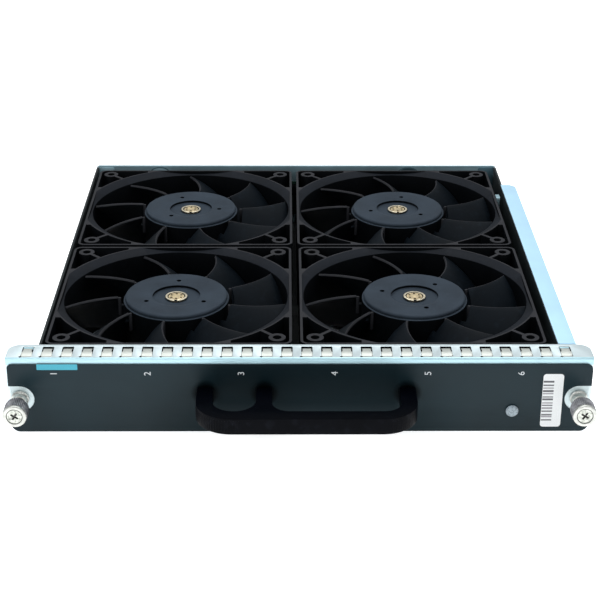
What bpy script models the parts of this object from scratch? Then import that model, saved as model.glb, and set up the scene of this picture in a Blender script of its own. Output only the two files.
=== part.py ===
"""Switch fan tray: a sheet-steel tray with four 120 mm fans behind a folded front panel.

X runs across the front from the panel's middle, Y runs back from the front row of fans,
and Z runs up from the underside of the tray floor.
"""

import math

import bmesh
import bpy
from mathutils import Matrix, Vector

MM = 0.001

# Driving dimensions, in millimetres and degrees
SEAT_GAP = 0.3
SHEET = 1.2

# Tray pan
TRAY_WIDTH = 251.4
TRAY_REAR = 250.2
LIP_HEIGHT = 8.0
GUIDE_WIDTH = 7.8
GUIDE_START = 0.4
GUIDE_LENGTH = 214.2
GUIDE_CHAMFER = 3.0
EXHAUST_RADIUS = 56.8
REAR_HOLE_RADIUS = 7.5
REAR_HOLE_MARGIN = 1.2
REAR_HOLE_SPACING = 156.6
REAR_MIDDLE = -7.8

# Fans
FAN_SIZE = 119.4
FAN_DEPTH = 38.0
FAN_WALL = 1.7
FAN_CORNER = 4.0
FAN_HOLE_INSET = 7.2
FAN_MIDDLE = -1.7
FRONT_PITCH = 123.5
REAR_PITCH = 122.2
ROW_PITCH = 122.3
FRONT_ROW = 60.0
BORE_RADIUS = 57.7
BELL_FLARE = 4.9
BELL_DEPTH = 2.5
RING_WALL = 1.0
POCKET_FLOOR = 4.0
BOSS_RADIUS = 4.25
BOSS_HOLE_RADIUS = 2.15
BOSS_RIB = 1.8
BASE_RADIUS = 31.0
BASE_THICKNESS = 3.5
STRUT_WIDTH = 5.0
STRUT_HEIGHT = 5.0
STRUT_COUNT = 4
STRUT_TURN = 45.0
TUBE_RADIUS = 6.2
TUBE_WALL = 1.6
TUBE_CLEARANCE = 1.0

# Motor
SHAFT_RADIUS = 2.0
SHAFT_DROP = 2.3
INSERT_RADIUS = 4.3
INSERT_FLANGE_RADIUS = 5.9
INSERT_FLANGE = 0.7
MAGNET_WALL = 2.2
MAGNET_LIFT = 3.7
STATOR_DROP = 6.5
STATOR_BOTTOM = 8.0
STATOR_POLES = 6
POLE_GAP_ANGLE = 10.0
POLE_TIP = 2.6
STATOR_CORE = 3.0
TOOTH_WIDTH = 5.0
AIR_GAP = 0.4

# Impeller
BLADE_COUNT = 9
HUB_RADIUS = 27.3
HUB_DROP = 1.2
HUB_WALL = 2.0
HUB_BOTTOM = 7.5
HUB_PLATE = 3.0
CAP_RADIUS = 26.4
CAP_CHAMFER = 1.1
CAP_DEPTH = 1.7
RIM_CHAMFER = 0.4
RECESS_RADIUS = 12.3
RECESS_DEPTH = 1.5
RECESS_SLOPE = 2.3
RECESS_SLOPE_DEPTH = 0.5
HUB_BOSS_RADIUS = 8.0
HUB_BOSS_LENGTH = 8.5
BALANCE_HOLE_RADIUS = 1.25
BALANCE_HOLE_CIRCLE = 17.0
BALANCE_HOLES = 3
BALANCE_HOLE_TURN = 68.0
TIP_GAP = 0.7
BLADE_THICKNESS = 1.5
BLADE_LEAD_DROP = 3.8
BLADE_TIP_DROP = 0.8
BLADE_TRAIL = 7.6
BLADE_SPAN_ANGLE = 33.0
BLADE_SWEEP = 11.0
BLADE_EVEN_FALL = 0.62
BLADE_CHORD = (0.0, 0.35, 1.0)
BLADE_FULLNESS = (0.4, 1.0, 0.3)
ROTOR_PHASES = {"front_left": 21.1, "front_right": -21.6, "rear_left": 43.0, "rear_right": 10.7}

# Front panel
PANEL_WIDTH = 279.4
PANEL_FRONT = -14.7
PANEL_FLANGE_BACK = -0.3
FOLD_RADIUS = 1.8
PANEL_BOTTOM_CORNER = 5.0
FLANGE_CORNER = 4.0
EAR_WIDTH = 13.0
OVERLAY = 0.5
OVERLAY_TOP_MARGIN = 2.7
OVERLAY_INSET = 0.4
OVERLAY_TOP_CORNER = 3.5

# Spring fingers
FINGER_PITCH = 9.525
FINGER_MIDDLE = -1.4
FINGER_END_MARGIN = 6.0
WINDOW_WIDTH = 5.4
WINDOW_FRONT = -12.9
WINDOW_BACK = -3.0
FINGER_SHEET = 0.4
FINGER_RISE = 0.5
FINGER_SIDE_GAP = 0.4
FINGER_END_GAP = 0.9
FINGER_LENGTHS = (0.2, 0.65, 1.0)
FINGER_HEIGHTS = (0.85, 1.0, 0.3)
RAIL_WIDTH = 1.3

# Handle
HANDLE_LEFT = -49.0
HANDLE_RIGHT = 55.2
HANDLE_REACH = 31.0
HANDLE_HEIGHT = 8.3
HANDLE_MIDDLE = 20.3
HANDLE_BAR = 7.6
POST_WIDTH = 7.6
MIDDLE_POST = -17.0
LEFT_END_RADIUS = 17.0
RIGHT_END_RADIUS = 14.0
LOOP_FILLET = 6.5
HANDLE_EDGE = 1.2
HANDLE_SCREW_RADIUS = 1.9
HANDLE_SCREW_DEPTH = 9.0
HANDLE_HEAD_RADIUS = 3.8
HANDLE_HEAD = 2.2

# Captive thumbscrews
SCREW_INSET = 5.9
SCREW_HEIGHT = 18.0
NOTCH_RADIUS = 6.8
SCREW_TRAVEL = 4.0
KNOB_RADIUS = 5.3
KNOB_LENGTH = 9.3
KNOB_CHAMFER = 0.6
KNOB_FRONT = -33.0
SHANK_RADIUS = 2.0
SHANK_END = -4.0
FERRULE_RADIUS = 3.5
FERRULE_BASE_RADIUS = 5.0
FERRULE_BASE = 1.2
CLIP_RADIUS = 3.4
CLIP_THICKNESS = 0.8

# Status light, control board and rear connector
LENS_INSET = 37.6
LENS_Z = 11.5
LENS_RADIUS = 3.05
LENS_BODY_RADIUS = 2.3
LENS_PROUD = 0.8
LENS_CROWN = 0.4
LENS_EDGE = 0.2
LENS_LENGTH = 7.0
BOARD_WIDTH = 72.0
BOARD_BOTTOM = 8.0
BOARD_HEIGHT = 22.0
BOARD_THICKNESS = 1.6
CONNECTOR_WIDTH = 34.0
CONNECTOR_HEIGHT = 11.0
CONNECTOR_MIDDLE = 17.0
CONNECTOR_REACH = 9.0
CONNECTOR_CHAMFER = 1.2

# Fan screws
FAN_SCREW_RADIUS = 1.85
FAN_SCREW_LENGTH = 12.0
SCREW_HEAD_RADIUS = 3.1
SCREW_HEAD_LIFT = 0.15

# Facet counts
BORE_FACETS = 28
HUB_FACETS = 16
BASE_FACETS = 14
HOLE_FACETS = 10
SCREW_FACETS = 6
KNOB_FACETS = 12
BLADE_BANDS = 2
REAR_HOLE_FACETS = 16
BALANCE_FACETS = 6

# Sizes that follow from those above
FAN_BOTTOM = SHEET + SEAT_GAP
FAN_HALF = FAN_SIZE / 2
FAN_HOLE_SPACING = FAN_SIZE - 2 * FAN_HOLE_INSET
TRAY_HEIGHT = FAN_BOTTOM + FAN_DEPTH
HUB_TOP = FAN_DEPTH - HUB_DROP
HUB_PLATE_BOTTOM = HUB_TOP - HUB_PLATE
HUB_BOSS_BOTTOM = HUB_TOP - HUB_BOSS_LENGTH
SHAFT_TOP = HUB_TOP - SHAFT_DROP
TUBE_TOP = HUB_BOSS_BOTTOM - TUBE_CLEARANCE
STATOR_TOP = HUB_PLATE_BOTTOM - STATOR_DROP
BLADE_LEAD = FAN_DEPTH - BLADE_LEAD_DROP
BLADE_TIP_RADIUS = BORE_RADIUS - TIP_GAP
PANEL_BACK = PANEL_FRONT + SHEET
OVERLAY_BACK = PANEL_FRONT - SEAT_GAP
OVERLAY_FRONT = OVERLAY_BACK - OVERLAY
OVERLAY_TOP = TRAY_HEIGHT - OVERLAY_TOP_MARGIN
HOLE_CLEARANCE = SEAT_GAP
SCREW_X = PANEL_WIDTH / 2 - SCREW_INSET
LENS_X = PANEL_WIDTH / 2 - LENS_INSET
FINGER_COUNT = int((PANEL_WIDTH - 2 * FINGER_END_MARGIN) / FINGER_PITCH)
HANDLE_BACK = OVERLAY_FRONT - SEAT_GAP
HANDLE_FRONT = OVERLAY_FRONT - HANDLE_REACH
HANDLE_SCREW_XS = (HANDLE_LEFT + POST_WIDTH / 2, HANDLE_RIGHT - POST_WIDTH / 2)
FAN_CENTRES = {
    "front_left": (FAN_MIDDLE - FRONT_PITCH / 2, FRONT_ROW),
    "front_right": (FAN_MIDDLE + FRONT_PITCH / 2, FRONT_ROW),
    "rear_left": (FAN_MIDDLE - REAR_PITCH / 2, FRONT_ROW + ROW_PITCH),
    "rear_right": (FAN_MIDDLE + REAR_PITCH / 2, FRONT_ROW + ROW_PITCH),
}


def clear_scene():
    """Remove every object that the scene starts with."""
    for thing in list(bpy.data.objects):
        bpy.data.objects.remove(thing, do_unlink=True)


def make_material(name, colour, roughness, metallic):
    """A plain finish for one kind of surface."""
    material = bpy.data.materials.new(name)
    material.use_nodes = True
    shader = material.node_tree.nodes["Principled BSDF"]
    shader.inputs["Base Color"].default_value = (*colour, 1.0)
    shader.inputs["Roughness"].default_value = roughness
    shader.inputs["Metallic"].default_value = metallic
    return material


def make_materials():
    """Every finish of the tray, by name."""
    return {
        "zinc": make_material("zinc", (0.62, 0.70, 0.72), 0.35, 1.0),
        "spring_steel": make_material("spring_steel", (0.74, 0.72, 0.66), 0.3, 1.0),
        "slate_face": make_material("slate_face", (0.028, 0.042, 0.055), 0.45, 0.0),
        "black_gloss": make_material("black_gloss", (0.008, 0.009, 0.010), 0.25, 0.0),
        "fan_black": make_material("fan_black", (0.012, 0.012, 0.014), 0.5, 0.0),
        "hub_slate": make_material("hub_slate", (0.05, 0.065, 0.09), 0.5, 0.0),
        "brass": make_material("brass", (0.78, 0.55, 0.25), 0.3, 1.0),
        "nickel": make_material("nickel", (0.70, 0.69, 0.64), 0.25, 1.0),
        "steel": make_material("steel", (0.50, 0.50, 0.50), 0.35, 1.0),
        "magnet": make_material("magnet", (0.10, 0.10, 0.11), 0.6, 0.3),
        "lamination": make_material("lamination", (0.30, 0.28, 0.26), 0.5, 0.8),
        "board": make_material("board", (0.01, 0.12, 0.05), 0.5, 0.0),
        "lens_grey": make_material("lens_grey", (0.32, 0.35, 0.37), 0.35, 0.0),
    }


def point(x, y, z):
    """A place given in millimetres, in metres."""
    return Vector((x * MM, y * MM, z * MM))


def new_object(name, mesh_builder, material=None):
    """Put a bmesh in the scene as an object."""
    mesh = bpy.data.meshes.new(name)
    mesh_builder.to_mesh(mesh)
    mesh_builder.free()
    thing = bpy.data.objects.new(name, mesh)
    bpy.context.scene.collection.objects.link(thing)
    if material is not None:
        mesh.materials.append(material)
    return thing


def prism(name, outline, low, high, material=None, axis="Z"):
    """Extrude a closed outline between two levels along an axis.

    The outline is in XY for axis Z, in XZ for axis Y and in YZ for axis X.
    """
    place = {
        "Z": lambda a, b, level: point(a, b, level),
        "Y": lambda a, b, level: point(a, level, b),
        "X": lambda a, b, level: point(level, a, b),
    }[axis]
    shape = bmesh.new()
    bottom = [shape.verts.new(place(a, b, low)) for a, b in outline]
    face = shape.faces.new(bottom)
    result = bmesh.ops.extrude_face_region(shape, geom=[face])
    moved = [part for part in result["geom"] if isinstance(part, bmesh.types.BMVert)]
    bmesh.ops.translate(shape, verts=moved, vec=place(0, 0, high) - place(0, 0, low))
    bmesh.ops.recalc_face_normals(shape, faces=shape.faces)
    return new_object(name, shape, material)


def box(name, x0, x1, y0, y1, z0, z1, material=None):
    """A block between two corners."""
    return prism(name, [(x0, y0), (x1, y0), (x1, y1), (x0, y1)], z0, z1, material)


def turned(name, profile, facets, material=None, axis="Z"):
    """Turn a profile of (radius, level) points once round an axis.

    A profile that starts or ends on the axis closes there, and any other is a ring.
    """
    place = {
        "Z": lambda radius, turn, level: point(radius * math.cos(turn), radius * math.sin(turn), level),
        "Y": lambda radius, turn, level: point(radius * math.cos(turn), level, radius * math.sin(turn)),
    }[axis]
    shape = bmesh.new()
    rings = []
    for radius, level in profile:
        if radius == 0:
            rings.append([shape.verts.new(place(0, 0, level))])
            continue
        turns = [2 * math.pi * step / facets for step in range(facets)]
        rings.append([shape.verts.new(place(radius, turn, level)) for turn in turns])
    pairs = list(zip(rings, rings[1:]))
    if profile[0][0] != 0 and profile[-1][0] != 0:
        pairs.append((rings[-1], rings[0]))
    for first, second in pairs:
        for step in range(facets):
            after = (step + 1) % facets
            corners = [first[step % len(first)], first[after % len(first)]]
            corners += [second[after % len(second)], second[step % len(second)]]
            shape.faces.new(list(dict.fromkeys(corners)))
    bmesh.ops.recalc_face_normals(shape, faces=shape.faces)
    return new_object(name, shape, material)


def rod(name, radius, low, high, facets=HOLE_FACETS, axis="Z", centre=(0, 0), material=None):
    """A plain round bar, used for holes and pins."""
    thing = turned(name, [(0, low), (radius, low), (radius, high), (0, high)], facets, material, axis)
    offset = point(centre[0], centre[1], 0) if axis == "Z" else point(centre[0], 0, centre[1])
    thing.data.transform(Matrix.Translation(offset))
    return thing


def arc(centre, radius, start, end, steps):
    """Points along an arc, with angles in degrees."""
    turns = [math.radians(start + (end - start) * step / steps) for step in range(steps + 1)]
    return [(centre[0] + radius * math.cos(turn), centre[1] + radius * math.sin(turn)) for turn in turns]


def combine(thing, others, operation):
    """Cut or join other shapes into one, and leave a finished mesh."""
    for other in others:
        other.hide_render = True
        other.display_type = "WIRE"
        change = thing.modifiers.new(other.name, "BOOLEAN")
        change.operation = operation
        change.object = other
    graph = bpy.context.evaluated_depsgraph_get()
    finished = bpy.data.meshes.new_from_object(thing.evaluated_get(graph))
    thing.modifiers.clear()
    thing.data = finished
    for other in others:
        bpy.data.objects.remove(other, do_unlink=True)
    return thing


def cut(thing, cutters):
    """Take the cutters out of a shape."""
    return combine(thing, cutters, "DIFFERENCE")


def join(thing, additions):
    """Make a shape and its additions one body."""
    return combine(thing, additions, "UNION")


def corner_cutter(name, corner, inward, radius, low, high, axis):
    """The waste outside a rounded corner, as a prism along an axis."""
    centre = (corner[0] + inward[0] * radius, corner[1] + inward[1] * radius)
    start = 180 if inward[0] > 0 else 0
    end = 270 if inward[1] > 0 else 90
    if inward == (-1, 1):
        start, end = 360, 270
    past = (corner[0] - inward[0], corner[1] - inward[1])
    outline = [past, (past[0], centre[1])] + arc(centre, radius, start, end, 5) + [(centre[0], past[1])]
    return prism(name, outline, low, high, axis=axis)


def mark_off(thing, x):
    """Add an edge loop round a shape where one stretch of it ends and the next begins."""
    shape = bmesh.new()
    shape.from_mesh(thing.data)
    every = shape.verts[:] + shape.edges[:] + shape.faces[:]
    bmesh.ops.bisect_plane(shape, geom=every, plane_co=point(x, 0, 0), plane_no=(1, 0, 0))
    shape.to_mesh(thing.data)
    shape.free()


def smooth(thing, angle=35.0):
    """Shade a round piece smooth, with its real edges kept sharp."""
    thing.data.shade_smooth()
    thing.data.set_sharp_from_angle(angle=math.radians(angle))
    return thing


def place_copy(name, pattern, parent, location=(0, 0, 0), turn=0.0):
    """A separate piece that has another's mesh, at its own place under a parent."""
    copy = bpy.data.objects.new(name, pattern.data)
    bpy.context.scene.collection.objects.link(copy)
    copy.parent = parent
    copy.location = point(*location)
    copy.rotation_euler = (0.0, 0.0, math.radians(turn))
    return copy


def empty_at(name, location):
    """An empty that carries the pieces of one unit."""
    holder = bpy.data.objects.new(name, None)
    bpy.context.scene.collection.objects.link(holder)
    holder.location = point(*location)
    return holder


def fan_screw_places():
    """The four screw places of each fan, as name, x and y."""
    half = FAN_HOLE_SPACING / 2
    places = []
    for fan, (x, y) in FAN_CENTRES.items():
        for number, (across, along) in enumerate(((-1, -1), (1, -1), (1, 1), (-1, 1)), start=1):
            places.append((f"{fan}_screw_{number}", x + across * half, y + along * half))
    return places


def build_tray_pan(material):
    """The folded pan: floor, two walls, rear wall, front lip and the guide flange on the right."""
    half = TRAY_WIDTH / 2
    front = PANEL_BACK + SEAT_GAP
    pan = box("tray_pan", -half, half, front, TRAY_REAR, 0, TRAY_HEIGHT, material)
    inside = box("inside", -half + SHEET, half - SHEET, front + SHEET, TRAY_REAR - SHEET,
                 SHEET, TRAY_HEIGHT + 1)
    under_flange = WINDOW_BACK - SEAT_GAP
    finger_level = TRAY_HEIGHT - SHEET - SEAT_GAP - FINGER_SHEET
    mouth = box("mouth", -half - 1, half + 1, front - 1, PANEL_FLANGE_BACK + SEAT_GAP,
                finger_level - SEAT_GAP - SHEET, TRAY_HEIGHT + 1)
    lip = box("lip", -half + SHEET, half - SHEET, front - 1, under_flange, LIP_HEIGHT, TRAY_HEIGHT + 1)
    cutters = [inside, mouth, lip]
    for number, (x, y) in enumerate(FAN_CENTRES.values()):
        cutters.append(rod(f"exhaust_{number}", EXHAUST_RADIUS, -1, SHEET + 1, BORE_FACETS, centre=(x, y)))
    hole_height = TRAY_HEIGHT - REAR_HOLE_MARGIN - REAR_HOLE_RADIUS
    for side in (-1, 1):
        x = REAR_MIDDLE + side * REAR_HOLE_SPACING / 2
        cutters.append(rod(f"rear_hole_{side}", REAR_HOLE_RADIUS, TRAY_REAR - SHEET - 1, TRAY_REAR + 1,
                           REAR_HOLE_FACETS, "Y", (x, hole_height)))
    cutters.append(box("connector_window",
                       REAR_MIDDLE - CONNECTOR_WIDTH / 2 - HOLE_CLEARANCE,
                       REAR_MIDDLE + CONNECTOR_WIDTH / 2 + HOLE_CLEARANCE,
                       TRAY_REAR - SHEET - 1, TRAY_REAR + 1,
                       CONNECTOR_MIDDLE - CONNECTOR_HEIGHT / 2 - HOLE_CLEARANCE,
                       CONNECTOR_MIDDLE + CONNECTOR_HEIGHT / 2 + HOLE_CLEARANCE))
    shank = FAN_SCREW_RADIUS + HOLE_CLEARANCE
    head = SCREW_HEAD_RADIUS + HOLE_CLEARANCE
    slope = (head - shank) / SHEET
    for name, x, y in fan_screw_places():
        profile = [(0, -1), (head + slope, -1), (shank - slope, SHEET + 1), (0, SHEET + 1)]
        sink = turned(f"sink_{name}", profile, SCREW_FACETS)
        sink.data.transform(Matrix.Translation(point(x, y, 0)))
        cutters.append(sink)
    cut(pan, cutters)
    outer = half + GUIDE_WIDTH
    inner = half - SHEET / 2
    end = GUIDE_START + GUIDE_LENGTH
    outline = [(inner, GUIDE_START), (outer, GUIDE_START), (outer, end - GUIDE_CHAMFER),
               (outer - GUIDE_CHAMFER, end), (inner, end)]
    guide = prism("guide", outline, TRAY_HEIGHT - SHEET, TRAY_HEIGHT)
    return join(pan, [guide])


def window_places():
    """The middles of the spring-finger windows across the panel."""
    first = FINGER_MIDDLE - FINGER_PITCH * (FINGER_COUNT - 1) / 2
    return [first + FINGER_PITCH * number for number in range(FINGER_COUNT)]


def build_front_panel(material):
    """The folded panel: an upright face and a flange turned back along its top."""
    top = TRAY_HEIGHT
    bend_y = PANEL_FRONT + FOLD_RADIUS
    bend_z = top - FOLD_RADIUS
    outside = arc((bend_y, bend_z), FOLD_RADIUS, 180, 90, 5)
    inside = arc((bend_y, bend_z), FOLD_RADIUS - SHEET, 90, 180, 3)
    profile = [(PANEL_FRONT, 0)] + outside + [(PANEL_FLANGE_BACK, top), (PANEL_FLANGE_BACK, top - SHEET)]
    profile += inside + [(PANEL_BACK, 0)]
    half = PANEL_WIDTH / 2
    panel = prism("front_panel", profile, -half, half, material, axis="X")
    for side in (-1, 1):
        mark_off(panel, side * (half - EAR_WIDTH))
    cutters = []
    for number, x in enumerate(window_places()):
        cutters.append(box(f"window_{number}", x - WINDOW_WIDTH / 2, x + WINDOW_WIDTH / 2,
                           WINDOW_FRONT, WINDOW_BACK, top - SHEET - 1, top + 1))
    for side in (-1, 1):
        cutters.append(corner_cutter(f"bottom_corner_{side}", (side * half, 0), (-side, 1),
                                     PANEL_BOTTOM_CORNER, PANEL_FRONT - 1, PANEL_BACK + 1, "Y"))
        cutters.append(corner_cutter(f"flange_corner_{side}", (side * half, PANEL_FLANGE_BACK), (-side, -1),
                                     FLANGE_CORNER, top - SHEET - 1, top + 1, "Z"))
        cutters.append(rod(f"ferrule_hole_{side}", FERRULE_RADIUS + HOLE_CLEARANCE,
                           PANEL_FRONT - 1, PANEL_BACK + 1, KNOB_FACETS, "Y", (side * SCREW_X, SCREW_HEIGHT)))
    cutters.append(rod("lens_hole", LENS_BODY_RADIUS + HOLE_CLEARANCE, PANEL_FRONT - 1, PANEL_BACK + 1,
                       HOLE_FACETS, "Y", (LENS_X, LENS_Z)))
    for number, x in enumerate((*HANDLE_SCREW_XS, MIDDLE_POST)):
        cutters.append(rod(f"handle_hole_{number}", HANDLE_SCREW_RADIUS + HOLE_CLEARANCE,
                           PANEL_FRONT - 1, PANEL_BACK + 1, HOLE_FACETS, "Y", (x, HANDLE_MIDDLE)))
    return cut(panel, cutters)


def build_face_overlay(material):
    """The dark face plate, notched at both ends round the thumbscrews."""
    half = PANEL_WIDTH / 2 - OVERLAY_INSET
    low = OVERLAY_INSET
    corner = PANEL_BOTTOM_CORNER
    outline = arc((-half + corner, low + corner), corner, 180, 270, 4)
    outline += arc((half - corner, low + corner), corner, 270, 360, 4)
    notch = arc((SCREW_X, SCREW_HEIGHT), NOTCH_RADIUS, 270, 90, 6)
    outline += [(half, SCREW_HEIGHT - NOTCH_RADIUS)] + notch + [(half, SCREW_HEIGHT + NOTCH_RADIUS)]
    top = OVERLAY_TOP - OVERLAY_TOP_CORNER
    outline += arc((half - OVERLAY_TOP_CORNER, top), OVERLAY_TOP_CORNER, 0, 90, 3)
    outline += arc((-half + OVERLAY_TOP_CORNER, top), OVERLAY_TOP_CORNER, 90, 180, 3)
    notch = arc((-SCREW_X, SCREW_HEIGHT), NOTCH_RADIUS, 90, -90, 6)
    outline += [(-half, SCREW_HEIGHT + NOTCH_RADIUS)] + notch + [(-half, SCREW_HEIGHT - NOTCH_RADIUS)]
    plate = prism("face_overlay", outline, OVERLAY_FRONT, OVERLAY_BACK, material, axis="Y")
    cutters = [rod("lens_hole", LENS_BODY_RADIUS + HOLE_CLEARANCE, OVERLAY_FRONT - 1, OVERLAY_BACK + 1,
                   HOLE_FACETS, "Y", (LENS_X, LENS_Z))]
    for number, x in enumerate((*HANDLE_SCREW_XS, MIDDLE_POST)):
        cutters.append(rod(f"handle_hole_{number}", HANDLE_SCREW_RADIUS + HOLE_CLEARANCE,
                           OVERLAY_FRONT - 1, OVERLAY_BACK + 1, HOLE_FACETS, "Y", (x, HANDLE_MIDDLE)))
    return cut(plate, cutters)


def build_finger_strip(material):
    """A comb of arched spring fingers that rise through the windows of the top flange."""
    rail_top = TRAY_HEIGHT - SHEET - SEAT_GAP
    rail_front = PANEL_BACK + SEAT_GAP
    rail_back = rail_front + RAIL_WIDTH
    width = WINDOW_WIDTH - 2 * FINGER_SIDE_GAP
    tip = WINDOW_BACK - FINGER_END_GAP
    rise = TRAY_HEIGHT + FINGER_RISE - rail_top
    shape = bmesh.new()

    def column(x, y, level):
        """The two corners of the strip at one place, above and below."""
        return [shape.verts.new(point(x, y, level)), shape.verts.new(point(x, y, level - FINGER_SHEET))]

    edges = []
    for x in window_places():
        edges += [x - width / 2, x + width / 2]
    edges = [edges[0] - width / 2] + edges + [edges[-1] + width / 2]
    fronts = [column(x, rail_front, rail_top) for x in edges]
    backs = [column(x, rail_back, rail_top) for x in edges]
    for index in range(len(edges) - 1):
        front, back = fronts[index], backs[index]
        next_front, next_back = fronts[index + 1], backs[index + 1]
        shape.faces.new([front[0], next_front[0], next_back[0], back[0]])
        shape.faces.new([front[1], back[1], next_back[1], next_front[1]])
        shape.faces.new([front[0], front[1], next_front[1], next_front[0]])
        if index % 2 == 0:
            shape.faces.new([back[0], next_back[0], next_back[1], back[1]])
            continue
        left, right = back, next_back
        for station, height in zip(FINGER_LENGTHS, FINGER_HEIGHTS):
            y = rail_back + (tip - rail_back) * station
            level = rail_top + rise * height
            new_left = column(edges[index], y, level)
            new_right = column(edges[index + 1], y, level)
            shape.faces.new([left[0], right[0], new_right[0], new_left[0]])
            shape.faces.new([left[1], new_left[1], new_right[1], right[1]])
            shape.faces.new([left[0], new_left[0], new_left[1], left[1]])
            shape.faces.new([right[0], right[1], new_right[1], new_right[0]])
            left, right = new_left, new_right
        shape.faces.new([left[0], right[0], right[1], left[1]])
    for end in (0, -1):
        shape.faces.new([fronts[end][0], backs[end][0], backs[end][1], fronts[end][1]])
    bmesh.ops.recalc_face_normals(shape, faces=shape.faces)
    return new_object("finger_strip", shape, material)


def handle_outline():
    """The pull's outline from above: a bar on three posts, round at both ends."""
    left, right, back, front = HANDLE_LEFT, HANDLE_RIGHT, HANDLE_BACK, HANDLE_FRONT
    inner = front + HANDLE_BAR
    post = POST_WIDTH
    outline = [(left, back)]
    outline += arc((left + LEFT_END_RADIUS, front + LEFT_END_RADIUS), LEFT_END_RADIUS, 180, 270, 7)
    outline += arc((right - RIGHT_END_RADIUS, front + RIGHT_END_RADIUS), RIGHT_END_RADIUS, 270, 360, 6)
    outline += [(right, back), (right - post, back)]
    fillet = LOOP_FILLET
    outline += arc((right - post - fillet, inner + fillet), fillet, 0, -90, 4)
    middle_right = MIDDLE_POST + post / 2
    outline += arc((middle_right + fillet, inner + fillet), fillet, 270, 180, 4)
    middle_left = MIDDLE_POST - post / 2
    outline += [(middle_right, back), (middle_left, back)]
    loop = (middle_left - left - post) / 2
    outline += arc((middle_left - loop, inner + loop), loop, 0, -180, 8)
    outline += [(left + post, back)]
    return outline


def build_handle(material):
    """The moulded pull, with screw holes in its end posts and a peg on its middle post."""
    low = HANDLE_MIDDLE - HANDLE_HEIGHT / 2
    high = HANDLE_MIDDLE + HANDLE_HEIGHT / 2
    handle = prism("handle", handle_outline(), low, high, material)
    bevel = handle.modifiers.new("rounded_edges", "BEVEL")
    bevel.width = HANDLE_EDGE * MM
    bevel.segments = 1
    bevel.limit_method = "ANGLE"
    bevel.angle_limit = math.radians(50)
    combine(handle, [], "UNION")
    holes = [rod(f"screw_hole_{number}", HANDLE_SCREW_RADIUS + HOLE_CLEARANCE,
                 HANDLE_BACK - HANDLE_SCREW_DEPTH, HANDLE_BACK + 1, HOLE_FACETS, "Y", (x, HANDLE_MIDDLE))
             for number, x in enumerate(HANDLE_SCREW_XS)]
    cut(handle, holes)
    peg = rod("peg", HANDLE_SCREW_RADIUS, HANDLE_BACK - 1, PANEL_BACK, HOLE_FACETS, "Y",
              (MIDDLE_POST, HANDLE_MIDDLE))
    join(handle, [peg])
    return smooth(handle, 50)


def build_handle_screws(material):
    """Pan-head screws through the panel into the end posts."""
    seat = PANEL_BACK + SEAT_GAP
    tip = HANDLE_BACK - HANDLE_SCREW_DEPTH + SEAT_GAP
    top = seat + HANDLE_HEAD
    shoulder = HANDLE_HEAD_RADIUS * 0.75
    profile = [(0, tip), (HANDLE_SCREW_RADIUS, tip), (HANDLE_SCREW_RADIUS, seat),
               (HANDLE_HEAD_RADIUS, seat), (HANDLE_HEAD_RADIUS, seat + HANDLE_HEAD / 2),
               (shoulder, top), (0, top)]
    for side, x in zip(("left", "right"), HANDLE_SCREW_XS):
        screw = turned(f"handle_screw_{side}", profile, HOLE_FACETS, material, "Y")
        screw.location = point(x, 0, HANDLE_MIDDLE)
        smooth(screw)


def build_thumbscrews(materials):
    """At each end: the ferrule in the panel, the captive screw and the clip that keeps it."""
    knob_back = KNOB_FRONT + KNOB_LENGTH
    ferrule_front = knob_back + SCREW_TRAVEL + SEAT_GAP
    base_back = PANEL_FRONT - SEAT_GAP
    ferrule_back = PANEL_BACK + SEAT_GAP
    bore = SHANK_RADIUS + SEAT_GAP
    base_front = base_back - FERRULE_BASE
    ferrule = [(bore, ferrule_front), (FERRULE_RADIUS, ferrule_front), (FERRULE_RADIUS, base_front),
               (FERRULE_BASE_RADIUS, base_front + FERRULE_BASE / 2), (FERRULE_BASE_RADIUS, base_back),
               (FERRULE_RADIUS, base_back), (FERRULE_RADIUS, ferrule_back), (bore, ferrule_back)]
    chamfer = KNOB_CHAMFER
    knob = [(0, KNOB_FRONT), (KNOB_RADIUS - chamfer, KNOB_FRONT), (KNOB_RADIUS, KNOB_FRONT + chamfer),
            (KNOB_RADIUS, knob_back - chamfer), (KNOB_RADIUS - chamfer, knob_back), (SHANK_RADIUS, knob_back),
            (SHANK_RADIUS, SHANK_END - chamfer), (SHANK_RADIUS - chamfer, SHANK_END), (0, SHANK_END)]
    clip_front = ferrule_back + SEAT_GAP
    clip = [(bore, clip_front), (CLIP_RADIUS, clip_front), (CLIP_RADIUS, clip_front + CLIP_THICKNESS),
            (bore, clip_front + CLIP_THICKNESS)]
    for side, sign in (("left", -1), ("right", 1)):
        holder = empty_at(f"thumbscrew_axis_{side}", (sign * SCREW_X, 0, SCREW_HEIGHT))
        pieces = [turned(f"ferrule_{side}", ferrule, KNOB_FACETS, materials["nickel"], "Y"),
                  turned(f"thumbscrew_{side}", knob, KNOB_FACETS, materials["nickel"], "Y"),
                  turned(f"retaining_clip_{side}", clip, HOLE_FACETS, materials["steel"], "Y")]
        for piece in pieces:
            piece.parent = holder
            smooth(piece)


def build_status_lens(material):
    """The round light guide that shows through the face."""
    flange_back = OVERLAY_FRONT - SEAT_GAP
    front = flange_back - LENS_PROUD
    end = front + LENS_LENGTH
    crown = front - LENS_CROWN
    profile = [(0, crown), (LENS_RADIUS * 0.7, crown + LENS_CROWN * 0.4), (LENS_RADIUS, front + LENS_EDGE),
               (LENS_RADIUS, flange_back), (LENS_BODY_RADIUS, flange_back), (LENS_BODY_RADIUS, end), (0, end)]
    lens = turned("status_lens", profile, KNOB_FACETS, material, "Y")
    lens.location = point(LENS_X, 0, LENS_Z)
    return smooth(lens)


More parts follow.
